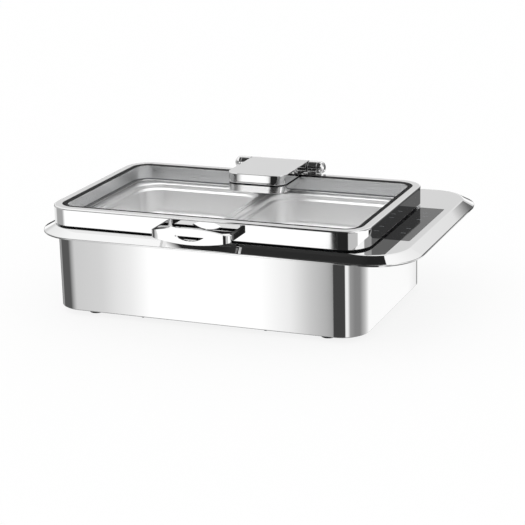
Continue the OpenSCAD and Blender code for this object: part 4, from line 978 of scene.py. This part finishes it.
def sow(name, spots, skin, material, body, nodes=()):
    """Sets one shape on many spots and keeps the result as a plain mesh."""
    pattern = skin.mesh(name + "_pattern")
    pattern.set_sharp_from_angle(angle=math.radians(40))
    shape = bpy.data.objects.new(pattern.name, pattern)
    cloud = bpy.data.meshes.new(name)
    cloud.from_pydata([tuple(p) for p in spots], [], [])
    piece = bpy.data.objects.new(name, cloud)
    for made in (shape, piece):
        bpy.context.scene.collection.objects.link(made)
    tree = repeater("repeat_" + name, material)
    repeat = piece.modifiers.new("repeat", "NODES")
    repeat.node_group = tree
    sockets = [i for i in tree.interface.items_tree if i.item_type == "SOCKET" and i.in_out == "INPUT"]
    inputs = {i.name: i.identifier for i in sockets}
    for key, value in (("Shape", shape), ("Turn", (0, 0, 0)), ("Scale", 1.0)):
        repeat[inputs[key]] = value
    plain(piece, material)
    bpy.data.objects.remove(shape)
    bpy.data.node_groups.remove(tree)
    return settle(piece, body, nodes)


def screw(head, height, socket, depth, shank, length):
    """Round head with a hexagon socket, its underside at the origin, and its shank below."""
    skin = Skin()
    end, rim = skin.sweep(
        circle_outline(32),
        [
            (0.05 * MM, -length, 0), (shank, -length, 0.3 * MM), (shank, 0, 0), (head, 0, 0.1 * MM),
            (head, height, 0.5 * MM), (socket * 1.25, height, 0),
        ],
        steps=3,
    )
    skin.fill([end], False)
    hexagon = [(n * socket, n) for n in (spoke(k / 6) for k in range(6))]
    floor, mouth = skin.opening(hexagon, height - depth, height)
    skin.fill([rim, mouth], True)
    skin.fill([floor], True)
    return skin


class DISH_OT_screws(bpy.types.Operator):
    """Screws of the hinge's foot plate"""

    bl_idname = "dish.screws"
    bl_label = "Hinge screws"

    def execute(self, context):
        s = sizes()
        low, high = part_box("hinge_base_screws")
        block_low, block_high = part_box("hinge_block")
        top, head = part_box("hinge_base")[0].z + s.foot_plate, s.screw_head
        mid, inner = (block_low.x + block_high.x) / 2, 0.3 * (block_high.x - block_low.x)
        spots = [(mid + side * inner, block_high.y - s.barrel, top) for side in (-1, 1)]
        spots += [(px, high.y - head, top) for px in (low.x + head, high.x - head)]
        shape = screw(head, height=3 * MM, socket=1.75 * MM, depth=1.8 * MM, shank=2.5 * MM, length=14 * MM)
        sow("hinge_stand_screws", spots, shape, coat("turned"), "base", ["hinge_base_screws"])
        return {"FINISHED"}


class DISH_OT_feet(bpy.types.Operator):
    """Four rubber feet"""

    bl_idname = "dish.feet"
    bl_label = "Feet"

    def execute(self, context):
        low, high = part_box("rubber_feet")
        r, tall, screw_hole = sizes().foot, high.z - low.z, 4.5 * MM
        foot = Skin().capped(
            circle_outline(48),
            [(screw_hole, 0, 0), (r - 2 * MM, 0, 1.2 * MM), (r, tall, 0.8 * MM), (screw_hole, tall, 0)],
            5,
        )
        spots = [(a, b, low.z) for a in (low.x + r, high.x - r) for b in (low.y + r, high.y - r)]
        sow("rubber_feet_set", spots, foot, coat("rubber"), "base", ["rubber_feet"])
        return {"FINISHED"}


class DISH_OT_key_marks(bpy.types.Operator):
    """Pale key marks printed on the touch panel"""

    bl_idname = "dish.key_marks"
    bl_label = "Key marks"

    def execute(self, context):
        low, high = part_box("panel_glass")
        mark = Skin().slab(round_rect(9 * MM, 1.8 * MM, 0.85 * MM, steps=4), 0, 0.05 * MM, 0.01 * MM)
        # each mark's place in millimetres from the panel's front left corner
        places = ((19, 175), (25, 155), (21, 132), (20, 73), (20, 44))
        spots = [(low.x + px * MM, low.y + py * MM, high.z) for px, py in places]
        sow("panel_key_marks", spots, mark, coat("ink"), "base")
        return {"FINISHED"}


# The camera at the photograph's angle: place in metres, angles in degrees, lens in millimetres
CAMERA_PLACE = (1.07049, -2.63937, 0.91829)
CAMERA_YAW, CAMERA_PITCH, CAMERA_ROLL = 22.06, 16.765, -1.36937
CAMERA_LENS = 114.92


class DISH_OT_stage(bpy.types.Operator):
    """Floor, studio light and the camera at the photograph's angle"""

    bl_idname = "dish.stage"
    bl_label = "Stage"

    def execute(self, context):
        scene = context.scene
        mesh = bpy.data.meshes.new("floor")
        half = 12.0
        mesh.from_pydata([(-half, -half, 0), (half, -half, 0), (half, half, 0), (-half, half, 0)], [], [(0, 1, 2, 3)])
        mesh.materials.append(floor_finish())
        floor = bpy.data.objects.new("floor", mesh)
        scene.collection.objects.link(floor)
        # below the horizon polished steel mirrors the cards and not the floor
        floor.visible_glossy = False
        studio_world(scene)
        camera = bpy.data.cameras.new("camera")
        camera.sensor_width, camera.lens = 36.0, CAMERA_LENS
        camera.clip_start, camera.clip_end = 0.1, 60
        view = bpy.data.objects.new("camera", camera)
        yaw, pitch, roll = (math.radians(a) for a in (CAMERA_YAW, CAMERA_PITCH, CAMERA_ROLL))
        ahead = Vector((-math.sin(yaw) * math.cos(pitch), math.cos(yaw) * math.cos(pitch), -math.sin(pitch)))
        right = Vector((math.cos(yaw), math.sin(yaw), 0))
        up = right.cross(ahead)
        across_view = right * math.cos(roll) + up * math.sin(roll)
        up_view = up * math.cos(roll) - right * math.sin(roll)
        turn = Matrix((across_view, up_view, -ahead)).transposed().to_4x4()
        view.matrix_world = Matrix.Translation(CAMERA_PLACE) @ turn
        scene.collection.objects.link(view)
        scene.camera = view
        scene.view_settings.view_transform = "Standard"
        return {"FINISHED"}


# Levels of the studio round the object, as polished steel mirrors them: azimuth in degrees (0 is in front of the
# object, 90 to its right) and light level, for three bands of height in front. The narrow sector that the flat fronts
# mirror has tables of its own, because a colour ramp holds no more than 256 steps.
LOW_CARDS = (
    (-180, 0.3), (-165, 0.2), (-131, 0.2), (-128, 0.36), (-109, 0.36), (-106, 0.11), (-58, 0.11), (-45, 0.4),
    (-30, 0.68), (-20, 0.4), (-18, 0.06), (28, 0.06), (30.5, 1.0), (40, 1.0), (49, 0.36), (70, 0.26), (93, 0.26),
    (121, 0.6), (150, 1.1), (163.2, 1.1), (164.6, 0.36), (180, 0.3),
)
MIDDLE_CARDS = (
    (-180, 0.9), (-110, 0.9), (-100, 0.42), (-62, 0.42), (-48, 1.2), (-20.5, 1.2), (-19, 0.02), (26, 0.02), (28, 0.6),
    (66, 0.6), (70, 1.2), (124, 1.2), (128, 0.03), (163.4, 0.03), (164.8, 0.9), (180, 0.9),
)
HIGH_CARDS = (
    (-180, 0.3), (-155, 0.02), (-110, 0.02), (-100, 0.5), (-62, 0.5), (-50, 0.12), (-30, 0.12), (-19, 0.02), (37, 0.02),
    (39, 0.35), (56, 0.35), (59, 1.2), (136, 1.2), (140, 0.02), (167, 0.02), (170, 0.5), (180, 0.3),
)
SECTOR = (-29.2, -18.9)
# Elevation in degrees at which the middle and the high cards begin, how much higher they begin at the left end of the
# slope, and the slope's azimuths
MIDDLE_FROM, HIGH_FROM, SLOPE_RISE, SLOPE = -16.6, -15.1, 1.265, (-30, -19)
# Elevation in degrees up to which the cards reach behind the object and in front of it
TOP_BEHIND, TOP_IN_FRONT = 1, 25
# The high cards' edges lean: elevation in degrees of their foot, and degrees of azimuth for each degree above it
LEAN_FOOT, LEAN = -1.04, 0.0425
LOW_SECTOR = (
    (-29.2, 0.66), (-28.7, 0.7), (-27.8, 0.76), (-27.3, 0.89), (-26.8, 0.98), (-26.1, 1.2), (-22.2, 1.2), (-21.1, 0.98),
    (-20.4, 0.68), (-19.8, 0.51), (-19.56, 0.41), (-19.5, 0.06), (-18.9, 0.06),
)
MIDDLE_SECTOR = ((-29.2, 1.2), (-19.63, 1.2), (-19.58, 0.02), (-18.9, 0.02))
HIGH_SECTOR = ((-29.2, 0.2), (-22.2, 0.3), (-22.02, 1.2), (-21.09, 1.2), (-21.05, 0.02), (-18.9, 0.02))
# Levels by elevation in degrees: the open sky, and what lights the inside through the glass from behind. In front it
# is the same at every height.
SKY = ((0, 1.1), (11, 1.1), (13, 0.76), (17, 0.74), (24, 0.95), (40, 1.0), (60, 1.1), (90, 1.2))
INNER_BACK = ((0, 0.25), (22, 0.25), (34, 0.6), (60, 1.5), (90, 1.7))
INNER_FRONT = 1.7
# Cards in the sky: elevation from and to, azimuth from and to, level. The first three hang over the dish, where the
# front of the skirt shows them, straight and by way of the lid's front. The others stand low down behind the right end,
# which the panel and the lid's right side show.
SKY_CARDS = (
    (57.5, 76, -200, -122.7, 0.02), (66, 76, 172, 200, 0.02), (57.5, 76, -57.3, 12, 0.02),
    (-2, 20.7, 150, 177, 0.15), (-5, 60, 100, 150, 0.4),
)


def studio_world(scene):
    """Studio light: white to the camera, plain light on matt surfaces, and light and dark cards for polished steel."""
    world = bpy.data.worlds.new("studio")
    scene.world = world
    world.use_nodes = True
    tree = world.node_tree
    tree.nodes.clear()
    way = node(tree, "ShaderNodeTexCoord").outputs["Generated"]
    parts = node(tree, "ShaderNodeSeparateXYZ", {}, {"Vector": way}).outputs
    front = math_node(tree, "MULTIPLY", parts["Y"], -1.0)
    turn = math_node(tree, "DEGREES", math_node(tree, "ARCTAN2", parts["X"], front))
    rise = math_node(tree, "DEGREES", math_node(tree, "ARCSINE", parts["Z"]))

    def band_of(azimuth, wide, narrow):
        inside = between(tree, azimuth, *SECTOR, 0.01)
        return blend(tree, inside, ramp(tree, azimuth, -180, 180, wide), ramp(tree, azimuth, *SECTOR, narrow))

    # the upper cards lean, because the block's front stands steeper than the clamp plate's
    lean = math_node(tree, "MULTIPLY", math_node(tree, "SUBTRACT", rise, LEAN_FOOT), LEAN)
    low, middle_band = band_of(turn, LOW_CARDS, LOW_SECTOR), band_of(turn, MIDDLE_CARDS, MIDDLE_SECTOR)
    high = band_of(math_node(tree, "ADD", turn, lean), HIGH_CARDS, HIGH_SECTOR)
    sky = ramp(tree, rise, 0, 90, SKY)
    for lowest, highest, start, end, level in SKY_CARDS:
        sky = blend(tree, overlap(tree, (rise, lowest, highest, 0.3), (turn, start, end, 0.3)), sky, level)
    # two dark cards that lie along Y, which the round and the flat parts of the hinge show
    for bounds in (
        ((parts["X"], -0.38, 0.3, 0.003), (rise, 25, 90, 0.3), (turn, -125, 200, 22), (turn, -200, 85, 2)),
        ((parts["X"], 0.3, 0.38, 0.003), (rise, 25, 90, 0.3), (turn, 20, 125, 2)),
    ):
        sky = blend(tree, overlap(tree, *bounds), sky, 0.04)
    # what lights the inside through the glass: a soft light in front and overhead, and a darker wall behind
    ahead = between(tree, turn, -115, 115, 25)
    inner = blend(tree, ahead, ramp(tree, rise, 0, 90, INNER_BACK), INNER_FRONT)
    path = node(tree, "ShaderNodeLightPath").outputs
    sky = blend(tree, path["Is Transmission Ray"], sky, inner)
    # the bands slope, because the camera looks along the dish at an angle
    band = math_node(tree, "ADD", rise, spread(tree, turn, *SLOPE, -SLOPE_RISE, 0))
    cards = blend(tree, between(tree, band, MIDDLE_FROM, 100, 0.03), low, middle_band)
    cards = blend(tree, between(tree, band, HIGH_FROM, 100, 0.03), cards, high)
    # in front the cards reach up higher than behind
    above = spread(tree, between(tree, turn, -100, 100, 2), 0, 1, TOP_BEHIND, TOP_IN_FRONT)
    over = math_node(tree, "SUBTRACT", rise, above)
    cards = blend(tree, between(tree, over, 0, 100, 1), cards, sky)
    cards = blend(tree, between(tree, rise, -100, -35, 4), cards, 0.3)
    glossy = node(tree, "ShaderNodeBackground", {"Strength": 1.0}, {"Color": cards})
    white = node(tree, "ShaderNodeBackground", {"Color": (1, 1, 1, 1), "Strength": 1.0})
    mirrored = math_node(tree, "MAXIMUM", path["Is Glossy Ray"], path["Is Transmission Ray"])
    seen = node(tree, "ShaderNodeMixShader", {}, {0: mirrored, 1: white.outputs[0], 2: glossy.outputs[0]})
    node(tree, "ShaderNodeOutputWorld", {}, {"Surface": seen.outputs[0]})


class DISH_PT_sidebar(bpy.types.Panel):
    """Sizes, colours and the pieces of the dish"""

    bl_label = "Chafing dish"
    bl_idname = "DISH_PT_sidebar"
    bl_space_type = "VIEW_3D"
    bl_region_type = "UI"
    bl_category = "Dish"

    def draw(self, context):
        layout = self.layout
        for group in (context.scene.dish_sizes, context.scene.dish_colours):
            box = layout.box()
            for name in group.bl_rna.properties.keys():
                if name not in ("rna_type", "name"):
                    box.prop(group, name)
        for made in OPERATORS:
            layout.operator(made.bl_idname)


OPERATORS = (
    DISH_OT_coat_nodes,
    DISH_OT_housing,
    DISH_OT_deck,
    DISH_OT_well,
    DISH_OT_food_pans,
    DISH_OT_lid_frame,
    DISH_OT_hinge,
    DISH_OT_handle,
    DISH_OT_screws,
    DISH_OT_feet,
    DISH_OT_key_marks,
    DISH_OT_stage,
)
CLASSES = (DishSizes, DishColours, *OPERATORS, DISH_PT_sidebar)


def register():
    for made in CLASSES:
        bpy.utils.register_class(made)
    bpy.types.Scene.dish_sizes = PointerProperty(type=DishSizes)
    bpy.types.Scene.dish_colours = PointerProperty(type=DishColours)


def unregister():
    del bpy.types.Scene.dish_sizes
    del bpy.types.Scene.dish_colours
    for made in reversed(CLASSES):
        bpy.utils.unregister_class(made)


def main():
    register()
    for made in OPERATORS:
        group, action = made.bl_idname.split(".")
        getattr(getattr(bpy.ops, group), action)()


if __name__ == "__main__":
    main()
